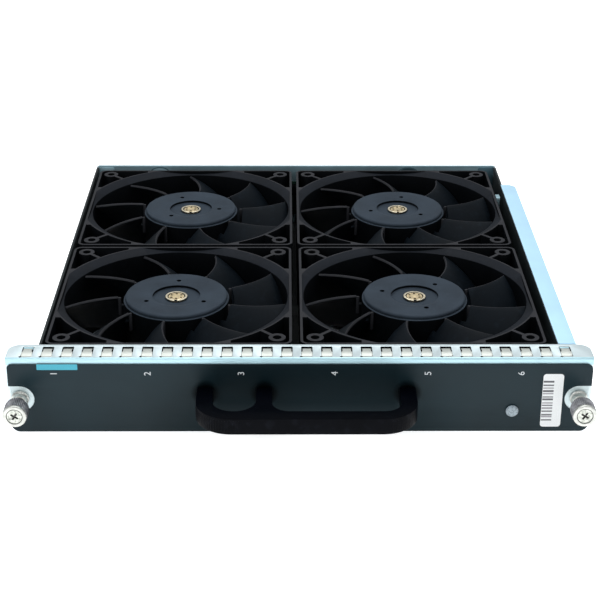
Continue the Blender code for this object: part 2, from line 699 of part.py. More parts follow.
def build_rear_electrics(materials):
    """The control board on the rear wall and the connector that it carries."""
    wall = TRAY_REAR - SHEET
    board_back = wall - SEAT_GAP
    box("control_board", REAR_MIDDLE - BOARD_WIDTH / 2, REAR_MIDDLE + BOARD_WIDTH / 2,
        board_back - BOARD_THICKNESS, board_back, BOARD_BOTTOM, BOARD_BOTTOM + BOARD_HEIGHT,
        materials["board"])
    half_width, half_height = CONNECTOR_WIDTH / 2, CONNECTOR_HEIGHT / 2
    end = TRAY_REAR + CONNECTOR_REACH
    chamfer = CONNECTOR_CHAMFER
    shape = bmesh.new()
    loops = []
    for y, inset in ((wall, 0), (end - chamfer, 0), (end, chamfer)):
        corners = []
        for across, up in ((-1, -1), (1, -1), (1, 1), (-1, 1)):
            x = REAR_MIDDLE + across * (half_width - inset)
            z = CONNECTOR_MIDDLE + up * (half_height - inset)
            corners.append(shape.verts.new(point(x, y, z)))
        loops.append(corners)
    shape.faces.new(loops[0])
    shape.faces.new(loops[-1])
    for first, second in zip(loops, loops[1:]):
        for step in range(4):
            after = (step + 1) % 4
            shape.faces.new([first[step], first[after], second[after], second[step]])
    bmesh.ops.recalc_face_normals(shape, faces=shape.faces)
    new_object("rear_connector", shape, materials["black_gloss"])


def pocket_outline():
    """The open corner pocket of a fan frame, round its screw boss and the rib behind it."""
    inner = FAN_HALF - FAN_WALL
    ring = BORE_RADIUS + BELL_FLARE + RING_WALL
    boss = FAN_HOLE_SPACING / 2
    corner = FAN_CORNER - FAN_WALL
    start = math.degrees(math.acos(min(inner / ring, 1.0))) + 5.0
    half_rib = BOSS_RIB / 2
    rib_turn = math.degrees(math.asin(half_rib / ring))
    boss_turn = math.degrees(math.asin(half_rib / BOSS_RADIUS))
    outline = arc((0, 0), ring, 45 - rib_turn, start, 3)
    edge = outline[-1][1]
    outline += [(inner, edge)]
    outline += arc((inner - corner, inner - corner), corner, 0, 90, 2)
    outline += [(edge, inner)]
    outline += arc((0, 0), ring, 90 - start, 45 + rib_turn, 3)
    outline += arc((boss, boss), BOSS_RADIUS, 225 - boss_turn, 225 - 360 + boss_turn, 6)
    return outline


def build_fan_frame(material):
    """The square fan housing: bell-mouthed bore, corner pockets and bosses, struts and motor base."""
    corner = FAN_CORNER
    middle = FAN_HALF - corner
    outline = []
    for across, along, start in ((1, 1, 0), (-1, 1, 90), (-1, -1, 180), (1, -1, 270)):
        outline += arc((across * middle, along * middle), corner, start, start + 90, 2)
    frame = prism("fan_frame", outline, 0, FAN_DEPTH, material)
    slope = BELL_FLARE / BELL_DEPTH
    bore = turned("bore", [(0, -1), (BORE_RADIUS, -1), (BORE_RADIUS, FAN_DEPTH - BELL_DEPTH),
                           (BORE_RADIUS + BELL_FLARE + slope, FAN_DEPTH + 1), (0, FAN_DEPTH + 1)],
                  BORE_FACETS)
    # The walls cut off the wide mouth at the middle of each side.
    inner = FAN_HALF - FAN_WALL
    walls = box("walls", -inner, inner, -inner, inner, -2, FAN_DEPTH + 2)
    combine(bore, [walls], "INTERSECT")
    cutters = [bore]
    boss = FAN_HOLE_SPACING / 2
    for quarter in range(4):
        pocket = prism(f"pocket_{quarter}", pocket_outline(), POCKET_FLOOR, FAN_DEPTH + 1)
        pocket.data.transform(Matrix.Rotation(math.radians(90 * quarter), 4, "Z"))
        cutters.append(pocket)
        turn = math.radians(45 + 90 * quarter)
        reach = boss * math.sqrt(2)
        cutters.append(rod(f"boss_hole_{quarter}", BOSS_HOLE_RADIUS, -1, FAN_DEPTH + 1, SCREW_FACETS,
                           centre=(reach * math.cos(turn), reach * math.sin(turn))))
    cut(frame, cutters)
    bore_radius = TUBE_RADIUS - TUBE_WALL
    base = turned("base", [(0, 0), (BASE_RADIUS, 0), (BASE_RADIUS, BASE_THICKNESS),
                           (TUBE_RADIUS, BASE_THICKNESS), (TUBE_RADIUS, TUBE_TOP), (bore_radius, TUBE_TOP),
                           (bore_radius, BASE_THICKNESS), (0, BASE_THICKNESS)], BASE_FACETS)
    additions = [base]
    for number in range(STRUT_COUNT):
        strut = box(f"strut_{number}", BASE_RADIUS - 2, BORE_RADIUS + 1,
                    -STRUT_WIDTH / 2, STRUT_WIDTH / 2, 0, STRUT_HEIGHT)
        turn = math.radians(STRUT_TURN + 360 * number / STRUT_COUNT)
        strut.data.transform(Matrix.Rotation(turn, 4, "Z"))
        additions.append(strut)
    join(frame, additions)
    return smooth(frame, 30)


def blade_station(share, radius):
    """Angle and height of a blade's middle surface, from its leading (0) to its trailing edge (1)."""
    outward = (radius - HUB_RADIUS) / (BLADE_TIP_RADIUS - HUB_RADIUS)
    lead_angle = BLADE_SWEEP * max(outward, 0.0) ** 1.5
    angle = lead_angle - BLADE_SPAN_ANGLE * share
    drop = BLADE_EVEN_FALL * share + (1 - BLADE_EVEN_FALL) * share * share
    lead = BLADE_LEAD - BLADE_TIP_DROP * outward
    return math.radians(angle), lead + (BLADE_TRAIL - lead) * drop


def blade_mesh():
    """One swept and cambered blade, thickest at a third of its chord."""
    root = HUB_RADIUS - HUB_WALL / 2
    radii = [root + (BLADE_TIP_RADIUS - root) * step / BLADE_BANDS for step in range(BLADE_BANDS + 1)]
    shape = bmesh.new()
    upper, lower = [], []
    for radius in radii:
        over, under = [], []
        for share, fullness in zip(BLADE_CHORD, BLADE_FULLNESS):
            turn, height = blade_station(share, radius)
            before, above = blade_station(share - 0.01, radius)
            along = Vector(((turn - before) * radius, height - above)).normalized()
            half = BLADE_THICKNESS * fullness / 2
            for side, row in ((1, over), (-1, under)):
                shifted = turn + side * half * -along.y / radius
                level = height + side * half * along.x
                x, y = radius * math.cos(shifted), radius * math.sin(shifted)
                row.append(shape.verts.new(point(x, y, level)))
        upper.append(over)
        lower.append(under)
    for rows in (upper, lower):
        for inner, outer in zip(rows, rows[1:]):
            for step in range(len(BLADE_CHORD) - 1):
                shape.faces.new([inner[step], outer[step], outer[step + 1], inner[step + 1]])
    for end in (0, -1):
        for step in range(len(BLADE_CHORD) - 1):
            shape.faces.new([upper[end][step], upper[end][step + 1], lower[end][step + 1], lower[end][step]])
        for step in range(len(radii) - 1):
            shape.faces.new([upper[step][end], upper[step + 1][end], lower[step + 1][end], lower[step][end]])
    bmesh.ops.recalc_face_normals(shape, faces=shape.faces)
    return shape


def build_impeller(material):
    """The moulded rotor: a hub cup with nine blades."""
    top, radius, wall = HUB_TOP, HUB_RADIUS, HUB_WALL
    plate = HUB_PLATE_BOTTOM
    recess = top - RECESS_DEPTH
    seat = recess - INSERT_FLANGE + SEAT_GAP
    hole = INSERT_RADIUS + SEAT_GAP
    step = top - CAP_DEPTH
    rim = [(CAP_RADIUS - CAP_CHAMFER, top), (CAP_RADIUS, top - CAP_CHAMFER), (CAP_RADIUS, step),
           (radius, step - RIM_CHAMFER)]
    flange_hole = INSERT_FLANGE_RADIUS + SEAT_GAP
    profile = [(hole, seat), (flange_hole, seat), (flange_hole, recess), (RECESS_RADIUS, recess),
               (RECESS_RADIUS, top - RECESS_SLOPE_DEPTH), (RECESS_RADIUS + RECESS_SLOPE, top)] + rim
    profile += [(radius, HUB_BOTTOM), (radius - wall, HUB_BOTTOM), (radius - wall, plate),
                (HUB_BOSS_RADIUS, plate), (HUB_BOSS_RADIUS, HUB_BOSS_BOTTOM), (hole, HUB_BOSS_BOTTOM)]
    impeller = turned("impeller", profile, HUB_FACETS, material)
    holes = []
    for number in range(BALANCE_HOLES):
        turn = math.radians(BALANCE_HOLE_TURN + 360 * number / BALANCE_HOLES)
        centre = (BALANCE_HOLE_CIRCLE * math.cos(turn), BALANCE_HOLE_CIRCLE * math.sin(turn))
        holes.append(rod(f"balance_{number}", BALANCE_HOLE_RADIUS, plate - 1, top + 1, BALANCE_FACETS,
                         centre=centre))
    cut(impeller, holes)
    blades = []
    for number in range(BLADE_COUNT):
        blade = new_object(f"blade_{number}", blade_mesh())
        blade.data.transform(Matrix.Rotation(math.radians(360 * number / BLADE_COUNT), 4, "Z"))
        blades.append(blade)
    join(impeller, blades)
    return smooth(impeller, 30)


def build_insert(material):
    """The brass bush moulded into the hub, which grips the shaft."""
    recess = HUB_TOP - RECESS_DEPTH
    seat = recess - INSERT_FLANGE + 2 * SEAT_GAP
    top = seat + INSERT_FLANGE + SEAT_GAP
    bore = SHAFT_RADIUS + SEAT_GAP
    blind = SHAFT_TOP + SEAT_GAP
    profile = [(0, top), (INSERT_FLANGE_RADIUS, top), (INSERT_FLANGE_RADIUS, seat), (INSERT_RADIUS, seat),
               (INSERT_RADIUS, HUB_BOSS_BOTTOM), (bore, HUB_BOSS_BOTTOM), (bore, blind), (0, blind)]
    return smooth(turned("brass_insert", profile, HOLE_FACETS, material))


def build_shaft(material):
    """The rotor's steel shaft."""
    foot = BASE_THICKNESS + 2 * SEAT_GAP
    return smooth(rod("shaft", SHAFT_RADIUS, foot, SHAFT_TOP, HOLE_FACETS, material=material))


def build_bearing(material):
    """The bearing cartridge pressed into the motor tube."""
    outer = TUBE_RADIUS - TUBE_WALL - SEAT_GAP
    inner = SHAFT_RADIUS + SEAT_GAP
    foot = BASE_THICKNESS + SEAT_GAP
    top = TUBE_TOP - SEAT_GAP
    profile = [(inner, foot), (outer, foot), (outer, top), (inner, top)]
    return smooth(turned("bearing", profile, HOLE_FACETS, material))


def build_magnet_ring(material):
    """The rotor's ring magnet inside the hub cup."""
    outer = HUB_RADIUS - HUB_WALL - SEAT_GAP
    inner = outer - MAGNET_WALL
    top = HUB_PLATE_BOTTOM - SEAT_GAP
    foot = HUB_BOTTOM + MAGNET_LIFT
    return smooth(turned("magnet_ring", [(inner, foot), (outer, foot), (outer, top), (inner, top)],
                         HUB_FACETS, material))


def build_stator(material):
    """The stator core: a ring of T-shaped poles on the motor tube."""
    magnet_inner = HUB_RADIUS - HUB_WALL - SEAT_GAP - MAGNET_WALL
    outer = magnet_inner * math.cos(math.pi / HUB_FACETS) - AIR_GAP
    neck = outer - POLE_TIP
    root = TUBE_RADIUS + SEAT_GAP + STATOR_CORE
    pole = 360 / STATOR_POLES
    reach = (pole - POLE_GAP_ANGLE) / 2
    outline = []
    for number in range(STATOR_POLES):
        middle = number * pole
        tooth_out = math.degrees(math.asin(TOOTH_WIDTH / 2 / neck))
        tooth_in = math.degrees(math.asin(TOOTH_WIDTH / 2 / root))
        for radius, angles in ((root, (-tooth_in,)), (neck, (-tooth_out, -reach)),
                               (outer, (-reach, 0, reach)), (neck, (reach, tooth_out)),
                               (root, (tooth_in,))):
            for angle in angles:
                turn = math.radians(middle + angle)
                outline.append((radius * math.cos(turn), radius * math.sin(turn)))
    stator = prism("stator", outline, STATOR_BOTTOM, STATOR_TOP, material)
    bore = rod("stator_bore", TUBE_RADIUS + SEAT_GAP, STATOR_BOTTOM - 1, STATOR_TOP + 1, BASE_FACETS)
    return cut(stator, [bore])


def build_fan_screws(material):
    """Countersunk screws through the tray floor into the fans' corner bosses."""
    floor_top = SHEET
    top = floor_top + FAN_SCREW_LENGTH
    slope = (SCREW_HEAD_RADIUS - FAN_SCREW_RADIUS) / SHEET
    neck = SHEET
    head = SCREW_HEAD_RADIUS - slope * SCREW_HEAD_LIFT
    profile = [(0, SCREW_HEAD_LIFT), (head, SCREW_HEAD_LIFT), (FAN_SCREW_RADIUS, neck),
               (FAN_SCREW_RADIUS, top), (0, top)]
    pattern = smooth(turned("fan_screw", profile, SCREW_FACETS, material))
    for name, x, y in fan_screw_places():
        place_copy(name, pattern, None, (x, y, 0))
    bpy.data.objects.remove(pattern, do_unlink=True)


def build_fans(materials):
    """Four fans, each a frame, a motor and an impeller turned to its own phase."""
    still = {
        "frame": build_fan_frame(materials["fan_black"]),
        "bearing": build_bearing(materials["steel"]),
        "stator": build_stator(materials["lamination"]),
    }
    turning = {
        "impeller": build_impeller(materials["hub_slate"]),
        "brass_insert": build_insert(materials["brass"]),
        "shaft": build_shaft(materials["steel"]),
        "magnet_ring": build_magnet_ring(materials["magnet"]),
    }
    for fan, (x, y) in FAN_CENTRES.items():
        holder = empty_at(f"fan_{fan}", (x, y, FAN_BOTTOM))
        for piece, pattern in still.items():
            place_copy(f"{fan}_{piece}", pattern, holder)
        for piece, pattern in turning.items():
            place_copy(f"{fan}_{piece}", pattern, holder, turn=ROTOR_PHASES[fan])
    for pattern in (*still.values(), *turning.values()):
        bpy.data.objects.remove(pattern, do_unlink=True)


def build_tray():
    """Model every piece of the fan tray."""
    clear_scene()
    materials = make_materials()
    build_tray_pan(materials["zinc"])
    build_front_panel(materials["zinc"])
    build_face_overlay(materials["slate_face"])
    build_finger_strip(materials["spring_steel"])
    build_handle(materials["black_gloss"])
    build_handle_screws(materials["steel"])
    build_thumbscrews(materials)
    build_status_lens(materials["lens_grey"])
    build_rear_electrics(materials)
    build_fans(materials)
    build_fan_screws(materials["steel"])
    bpy.context.view_layer.update()


build_tray()
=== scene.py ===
"""Looks for a network switch's fan tray: four fans in a zinc-plated tray behind a slate front panel.

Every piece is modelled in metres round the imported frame, with +Y to the rear and +Z up.
"""

import math
from functools import partial

import bpy
from mathutils import Matrix, Vector


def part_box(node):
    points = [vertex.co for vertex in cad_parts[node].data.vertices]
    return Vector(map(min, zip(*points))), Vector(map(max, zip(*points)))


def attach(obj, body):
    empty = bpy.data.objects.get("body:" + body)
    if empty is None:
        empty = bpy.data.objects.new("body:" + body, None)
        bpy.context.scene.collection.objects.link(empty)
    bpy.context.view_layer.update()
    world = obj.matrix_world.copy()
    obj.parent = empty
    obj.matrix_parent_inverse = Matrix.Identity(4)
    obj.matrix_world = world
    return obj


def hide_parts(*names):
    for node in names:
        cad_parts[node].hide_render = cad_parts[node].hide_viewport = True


bl_info = {
    "name": "Fan Tray Looks",
    "version": (1, 0, 0),
    "blender": (4, 5, 0),
    "location": "3D View > Sidebar > Fan Tray",
    "description": "Models a network switch's fan tray round its packed frame, piece by piece",
    "category": "Object",
}

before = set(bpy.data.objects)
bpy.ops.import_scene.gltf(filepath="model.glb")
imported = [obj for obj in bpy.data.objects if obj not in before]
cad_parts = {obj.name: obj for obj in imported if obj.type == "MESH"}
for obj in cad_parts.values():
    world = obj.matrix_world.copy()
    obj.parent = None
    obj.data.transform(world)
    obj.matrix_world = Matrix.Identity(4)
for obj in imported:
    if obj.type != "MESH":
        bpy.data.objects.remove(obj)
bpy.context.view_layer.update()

# Places read from the frame
PAN_LOW, PAN_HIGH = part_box("tray_pan")
PANEL_LOW, PANEL_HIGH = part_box("front_panel")
FACE_LOW, FACE_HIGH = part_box("face_overlay")
STRIP_LOW, STRIP_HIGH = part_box("finger_strip")
HANDLE_LOW, HANDLE_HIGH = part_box("handle")
LENS_LOW, LENS_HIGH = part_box("status_lens")
BOARD_LOW, BOARD_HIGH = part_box("control_board")
PLUG_LOW, PLUG_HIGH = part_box("rear_connector")
FRAME_LOW, FRAME_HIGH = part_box("front_left_frame")
ROTOR_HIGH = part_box("front_left_impeller")[1]
BUSH_LOW, BUSH_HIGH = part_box("front_left_brass_insert")

FAN_HALF = (FRAME_HIGH.x - FRAME_LOW.x) / 2
FAN_DEPTH = FRAME_HIGH.z - FRAME_LOW.z
HUB_TOP = ROTOR_HIGH.z - FRAME_LOW.z
FLOOR_LEVEL = PAN_LOW.z
FACE_FRONT = FACE_LOW.y
TRAY_HALF = -PAN_LOW.x
ROTOR_TURNS = {"front_left": 21.1, "front_right": -21.6, "rear_left": 43.0, "rear_right": 10.7}
SIDES = {"left": -1, "right": 1}
CORNERS = ((-1, -1), (-1, 1), (1, -1), (1, 1))
ROUND_TURN = 2 * math.pi
QUARTER_TURN = math.pi / 2

# Places closer than a hair are the same, cutters reach past what they cut, pieces that almost touch keep a
# bare gap, and an edge counts as straight along an axis from this share of its length.
HAIR = 0.00001
PAST = 0.001
BARE = 0.00005
STRAIGHT = 0.99


def middle_of(node):
    """The middle of a CAD node's box."""
    low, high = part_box(node)
    return (low + high) / 2


def fan_place(fan):
    """The foot of a fan's axis."""
    middle = middle_of(f"{fan}_frame")
    return Vector((middle.x, middle.y, FRAME_LOW.z))


def length(name, description, default):
    """A size that a user may change, in metres."""
    return bpy.props.FloatProperty(name=name, description=description, default=default, unit="LENGTH",
                                   precision=5)


def angle(name, description, degrees):
    """An angle that a user may change."""
    return bpy.props.FloatProperty(name=name, description=description, default=math.radians(degrees),
                                   unit="ROTATION")


def share(name, description, default):
    """A value between 0 and 1."""
    return bpy.props.FloatProperty(name=name, description=description, default=default, min=0.0, max=1.0,
                                   subtype="FACTOR")


def number(name, description, default):
    """A count of pieces or facets."""
    return bpy.props.IntProperty(name=name, description=description, default=default, min=1)


def colour(name, description, default):
    """A surface colour."""
    return bpy.props.FloatVectorProperty(name=name, description=description, default=default, size=3,
                                         min=0.0, max=1.0, subtype="COLOR")


def place(name, description, default):
    """A point in the frame."""
    return bpy.props.FloatVectorProperty(name=name, description=description, default=default, size=3,
                                         subtype="TRANSLATION", unit="LENGTH")


class TrayColours(bpy.types.PropertyGroup):
    """Colours of the tray's surfaces."""

    zinc: colour("Zinc", "Bright zinc-plated sheet", (0.80, 0.92, 0.95))
    # Painted shade: zinc of the panel's top fold, painted darker where it turns to the front, with the same
    # shine as the bright zinc; it also colours the stops in the end windows
    fold_zinc: colour("Fold zinc", "Zinc of the panel's top fold, less of a mirror", (0.56, 0.82, 0.90))
    # Painted shade: zinc inside the pan painted darker than the bright zinc, as the shade there; its finish
    # is also less shiny
    inner_zinc: colour("Inner zinc", "Duller zinc on the inside of the rear wall", (0.32, 0.48, 0.54))
    # Painted shade: zinc on the inner faces and tops of the side walls, painted nearly black as the shade in
    # the gaps beside the fans
    wall_zinc: colour("Wall zinc", "Dark zinc inside and on top of the side walls", (0.004, 0.010, 0.012))
    # Painted shade: the pan's floor under the fans, zinc painted nearly black as shade; its finish is also
    # less shiny
    floor_zinc: colour("Pan floor", "Dulled zinc on the pan's floor, under the fans", (0.020, 0.026, 0.028))
    # Painted shade: near black, on the cut faces inside the windows, the fingers' roots and sides, the rail
    # and backing under the flange, and the grooves and holes of the bushes
    raw_edge: colour("Raw edge", "Cut edges inside the windows", (0.004, 0.004, 0.005))
    pan_zinc: colour("Pan zinc", "Duller zinc on the outside of the pan", (0.46, 0.56, 0.60))
    # Painted shade: the tab folded in on the right, painted a darker zinc than the left one
    tab_zinc: colour("Tab zinc", "Zinc of the tab folded in on the right", (0.11, 0.21, 0.26))
    guide_blue: colour("Guide flange", "Zinc of the guide flange on the right", (0.50, 0.77, 0.96))
    spring_steel: colour("Spring steel", "Spring fingers", (0.59, 0.62, 0.58))
    slate: colour("Slate", "Painted face plate", (0.0080, 0.0215, 0.0280))
    gloss_black: colour("Gloss black", "Moulded pull and connector", (0.0006, 0.0010, 0.0024))
    # Painted light: the pull's front faces are painted paler than its top, as the light that falls on them;
    # the rubbed spots on it are wear
    grip_black: colour("Grip black", "Front of the pull, rubbed paler by fingers", (0.0030, 0.0034, 0.0048))
    fan_black: colour("Fan black", "Moulded fan frames and blades", (0.0012, 0.0019, 0.0028))
    blade_black: colour("Blade black", "Moulded fan blades", (0.0034, 0.0058, 0.0086))
    # Painted light: the ducts' sloped mouths are painted paler than the frame, as the light they catch
    duct_black: colour("Duct black", "Sloped mouths of the ducts", (0.0085, 0.0108, 0.0150))
    # Painted highlight: paler colour on the fans' top edges, the blades' leading rims and foot ribs, and the
    # tops of the pull's grip ribs
    fan_edge: colour("Fan edge", "Rubbed edges of the fans, which catch the light", (0.024, 0.025, 0.029))
    hub_slate: colour("Hub slate", "Caps of the fan hubs", (0.032, 0.044, 0.059))
    brass: colour("Brass", "Rings of the bushes in the hubs", (1.0, 0.90, 0.68))
    warm_brass: colour("Warm brass", "Middles of the bushes", (0.97, 0.80, 0.50))
    nickel: colour("Nickel", "Thumbscrews and ferrules", (0.76, 0.77, 0.72))
    # Painted shade: darker nickel in the grooves and cross recesses of the thumbscrews' faces
    cut_line: colour("Cut line", "Grooves and recesses in the thumbscrews' faces", (0.20, 0.20, 0.19))
    knob_face: colour("Knob face", "Tarnished middles of the thumbscrews' faces", (0.90, 0.93, 0.84))
    dark_nickel: colour("Dark nickel", "Knurled sides of the thumbscrews", (0.48, 0.48, 0.51))
    steel: colour("Steel", "Screws, clips and shafts", (0.55, 0.56, 0.57))
    magnet: colour("Magnet", "Bonded ring magnets", (0.06, 0.06, 0.065))
    lamination: colour("Laminations", "Stator cores", (0.30, 0.29, 0.27))
    board_green: colour("Board green", "Control board", (0.003, 0.020, 0.012))
    lens_grey: colour("Lens grey", "Status light guide", (0.17, 0.21, 0.235))
    label_cyan: colour("Label cyan", "Plain label at the top left of the face", (0.052, 0.41, 0.53))
    label_white: colour("Label white", "Plain sticker at the right of the face", (0.80, 0.82, 0.82))
    ink: colour("Ink", "Dark bars on the sticker", (0.11, 0.11, 0.12))
    pale_ink: colour("Pale ink", "Paler bars on the sticker", (0.34, 0.33, 0.35))
    number_grey: colour("Number grey", "Numbers along the face", (0.62, 0.66, 0.68))
    # Painted shade: near-black teal of the cups behind the rear ports, standing in for the shade seen through
    # them
    port_teal: colour("Port teal", "Liners behind the rear ports", (0.030, 0.062, 0.075))
    floor: colour("Floor", "Studio floor", (0.93, 0.94, 0.95))


class SheetSizes(bpy.types.PropertyGroup):
    """Sizes of the folded sheet pieces."""

    sheet: length("Sheet", "Thickness of the zinc-plated sheet", 0.0012)
    fold: length("Fold", "Outer radius of the panel's top fold", 0.0018)
    pan_fold: length("Pan fold", "Outer radius along the pan's lower edges", 0.0018)
    edge: length("Edge", "Rounding on the sheet's cut edges", 0.00018)
    lip: length("Lip", "Height of the pan's front lip", 0.0080)
    tab: length("Tab", "Width of the tabs folded in at the pan's rear corners", 0.0110)
    # Radius of the dark cups behind the rear ports, which stand in for the shade seen through them
    liner: length("Liner", "Radius of the liners behind the rear ports", 0.0086)
    sink: length("Sink", "Radius of the countersinks in the floor, at its underside", 0.0034)
    sink_end: length("Sink end", "Radius of the countersinks at the floor's upper side", 0.00215)
    exhaust: length("Exhaust", "Radius of the air holes in the floor", 0.0568)
    rear_hole: length("Rear hole", "Radius of the round holes in the rear wall", 0.0075)
    rear_hole_margin: length("Rear hole margin", "Sheet left above the rear holes", 0.0012)
    rear_hole_spacing: length("Rear hole spacing", "Distance between the rear holes", 0.1566)
    guide_end: length("Guide end", "Y of the guide flange's rear end", 0.2166)
    ferrule_hole: length("Ferrule hole", "Radius of the holes for the ferrules", 0.0038)
    lens_hole: length("Lens hole", "Radius of the hole for the status light", 0.0026)
    guide_chamfer: length("Guide chamfer", "Cut corner at the rear of the guide flange", 0.0030)
    ear_corner: length("Ear corner", "Radius of the panel's lower corners", 0.0050)
    flange_corner: length("Flange corner", "Radius of the flange's rear corners", 0.0060)
    clearance: length("Clearance", "Room round what passes through a sheet", 0.0003)


class FingerSizes(bpy.types.PropertyGroup):
    """Sizes of the spring fingers and their windows."""

    count: number("Fingers", "How many fingers stand along the flange", 28)
    pitch: length("Pitch", "Distance from finger to finger", 0.009525)
    window: length("Window", "Width of a window", 0.0054)
    front: length("Front", "Y of the windows' front edges", -0.0131)
    back: length("Back", "Y of the windows' back edges", -0.0026)
    relief: length("Relief", "Radius of the corner hole of a window", 0.00070)
    width: length("Width", "Width of a finger's front half", 0.0052)
    taper: share("Taper", "Width of a finger's back half as a share of its width", 0.80)
    sheet: length("Sheet", "Thickness of a finger", 0.0003)
    rise: length("Rise", "How far a finger stands above the flange", 0.00045)
    tip_gap: length("Tip gap", "Room behind a finger's tip", 0.0014)
    root_gap: length("Root gap", "Room before a finger's root", 0.0005)


class FaceSizes(bpy.types.PropertyGroup):
    """Sizes and places of the face plate and what is printed or stuck on it."""

    bottom: length("Bottom", "Z of the plate's lower edge", 0.00008)
    inset: length("Inset", "How far the plate stands down and to the right of its room", 0.00025)
    lower_corner: length("Lower corner", "Radius of the plate's lower corners", 0.0042)
    left_corner: length("Upper left corner", "Radius of the plate's upper left corner", 0.0021)
    right_corner: length("Upper right corner", "Radius of the plate's upper right corner", 0.0032)
    notch: length("Notch", "Radius of the notches round the thumbscrews", 0.0068)
    edge: length("Edge", "Rounding on the plate's edges", 0.00014)
    film: length("Film", "Thickness of printing and labels", 0.00006)
    digit_height: length("Digit height", "Height of the numbers", 0.0031)
    digit_pitch: length("Digit pitch", "Distance from number to number", 0.04445)
    first_digit: length("First digit", "X of the first number", -0.11694)
    digit_level: length("Digit level", "Z of the numbers", 0.0317)
    label_left: length("Label left", "X of the cyan label's left end", -0.1248)
    label_right: length("Label right", "X of the cyan label's right end", -0.1055)
    label_bottom: length("Label bottom", "Z of the cyan label's lower edge", 0.0337)
    sticker_left: length("Sticker left", "X of the white sticker's left edge", 0.1161)
    sticker_right: length("Sticker right", "X of the white sticker's right edge", 0.1259)
    sticker_bottom: length("Sticker bottom", "Z of the white sticker's lower edge", 0.0026)
    sticker_top: length("Sticker top", "Z of the white sticker's upper edge", 0.0313)
    sticker_corner: length("Sticker corner", "Radius of the sticker's corners", 0.0015)
    bar_count: number("Bars", "How many plain bars cross the sticker", 14)


class HandleSizes(bpy.types.PropertyGroup):
    """Sizes of the moulded pull."""

    bar: length("Bar", "Depth of the bar", 0.0076)
    post: length("Post", "Width of the posts", 0.0076)
    middle_post: length("Middle post", "X of the middle post", -0.0170)
    left_end: length("Left end", "Radius of the left end", 0.0170)
    right_end: length("Right end", "Radius of the right end", 0.0170)
    fillet: length("Fillet", "Radius inside the hand loop", 0.0085)
    edge: length("Edge", "Rounding of the pull's edges", 0.0013)
    rib_count: number("Ribs", "Grip ribs on the left end", 22)
    rib: length("Rib", "Radius of a grip rib", 0.00030)


class ScrewSizes(bpy.types.PropertyGroup):
    """Sizes of the thumbscrews and fan screws."""

    knob: length("Knob", "Radius of a thumbscrew's knob", 0.0058)
    knob_length: length("Knob length", "Length of a knob", 0.0093)
    teeth: number("Teeth", "Grip teeth round a knob", 40)
    tooth: length("Tooth", "Depth of a grip tooth", 0.00028)
    shank: length("Shank", "Radius of a thumbscrew's shank", 0.0020)
    recess: length("Recess", "Reach of a cross recess from its middle", 0.0027)
    recess_width: length("Recess width", "Width of a cross recess's slots", 0.0012)
    recess_depth: length("Recess depth", "Depth of a cross recess", 0.0011)
    recess_turn: angle("Recess turn", "Turn of a thumbscrew's cross recess", 32.0)
    fan_screw: length("Fan screw", "Radius of a fan screw's shank", 0.00185)
    fan_head: length("Fan screw head", "Radius of a fan screw's head", 0.0031)


class FanSizes(bpy.types.PropertyGroup):
    """Sizes of the fan frames."""

    wall: length("Wall", "Thickness of the straight walls", 0.0013)
    corner: length("Corner", "Radius of the outer corners", 0.0040)
    bore: length("Bore", "Radius of the air duct", 0.0577)
    flare: length("Flare", "How far the duct's mouth widens", 0.0049)
    flare_depth: length("Flare depth", "Depth of the duct's mouth", 0.0025)
    ring: length("Ring", "Width of the land round the duct's mouth", 0.0008)
    pocket_floor: length("Pocket floor", "Height of the corner pockets' floor", 0.0040)
    hole_inset: length("Hole inset", "Distance of the screw holes from the sides", 0.0072)
    boss: length("Boss", "Radius of the screw bosses", 0.00425)
    hole: length("Hole", "Radius of the screw holes", 0.00215)
    rib: length("Rib", "Thickness of the ribs behind the bosses", 0.0018)
    base: length("Base", "Radius of the motor base", 0.0310)
    base_thickness: length("Base thickness", "Thickness of the motor base", 0.0035)
    strut: length("Strut", "Width and height of the struts", 0.0050)
    tube: length("Tube", "Outer radius of the bearing tube", 0.0062)
    tube_wall: length("Tube wall", "Thickness of the bearing tube", 0.0016)
    tube_top: length("Tube top", "Height of the bearing tube", 0.0260)
    edge: length("Edge", "Rounding of the moulded edges", 0.00028)


class ImpellerSizes(bpy.types.PropertyGroup):
    """Sizes of the impellers and their bushes."""

    blades: number("Blades", "Blades of an impeller", 9)
    rim: length("Rim", "Radius of the hub's rim", 0.0273)
    cap: length("Cap", "Radius of the hub's cap", 0.0264)
    cap_round: length("Cap round", "Rounding of the cap's edge", 0.0011)
    cap_depth: length("Cap depth", "Depth from the cap's top to the rim", 0.0017)
    groove: length("Groove", "Width of the groove under the cap", 0.0007)
    wall: length("Wall", "Thickness of the hub's wall", 0.0020)
    plate: length("Plate", "Thickness of the hub's top", 0.0030)
    bottom: length("Bottom", "Height of the hub's lower edge", 0.0075)
    recess: length("Recess", "Radius of the recess round the bush", 0.0123)
    recess_slope: length("Recess slope", "Width of the slope round that recess", 0.0023)
    recess_depth: length("Recess depth", "Depth of that recess", 0.0021)
    balance_hole: length("Balance hole", "Radius of the balance holes", 0.00125)
    balance_circle: length("Balance circle", "Radius at which the balance holes stand", 0.0170)
    balance_turn: angle("Balance turn", "Place of the first balance hole after the first blade", 68.0)
    tip: length("Tip", "Radius of the blades' tips", 0.0572)
    thickness: length("Thickness", "Greatest thickness of a blade", 0.0016)
    lead: length("Lead", "Depth of the leading edges below the frame's top", 0.0026)
    foot: length("Foot", "Radius at which the ribs at the blades' feet stand", 0.0302)
    foot_depth: length("Foot depth", "Length of those ribs", 0.0100)
    tip_drop: length("Tip drop", "How much lower the leading edge is at the tip", 0.0008)
    trail: length("Trail", "Height of the trailing edges", 0.0076)
    twist: angle("Twist", "Turn from leading to trailing edge", 33.0)
    sweep: angle("Sweep", "Forward sweep of the tip", 11.0)
    even_fall: share("Even fall", "Share of a blade's fall that is even along its chord", 0.62)


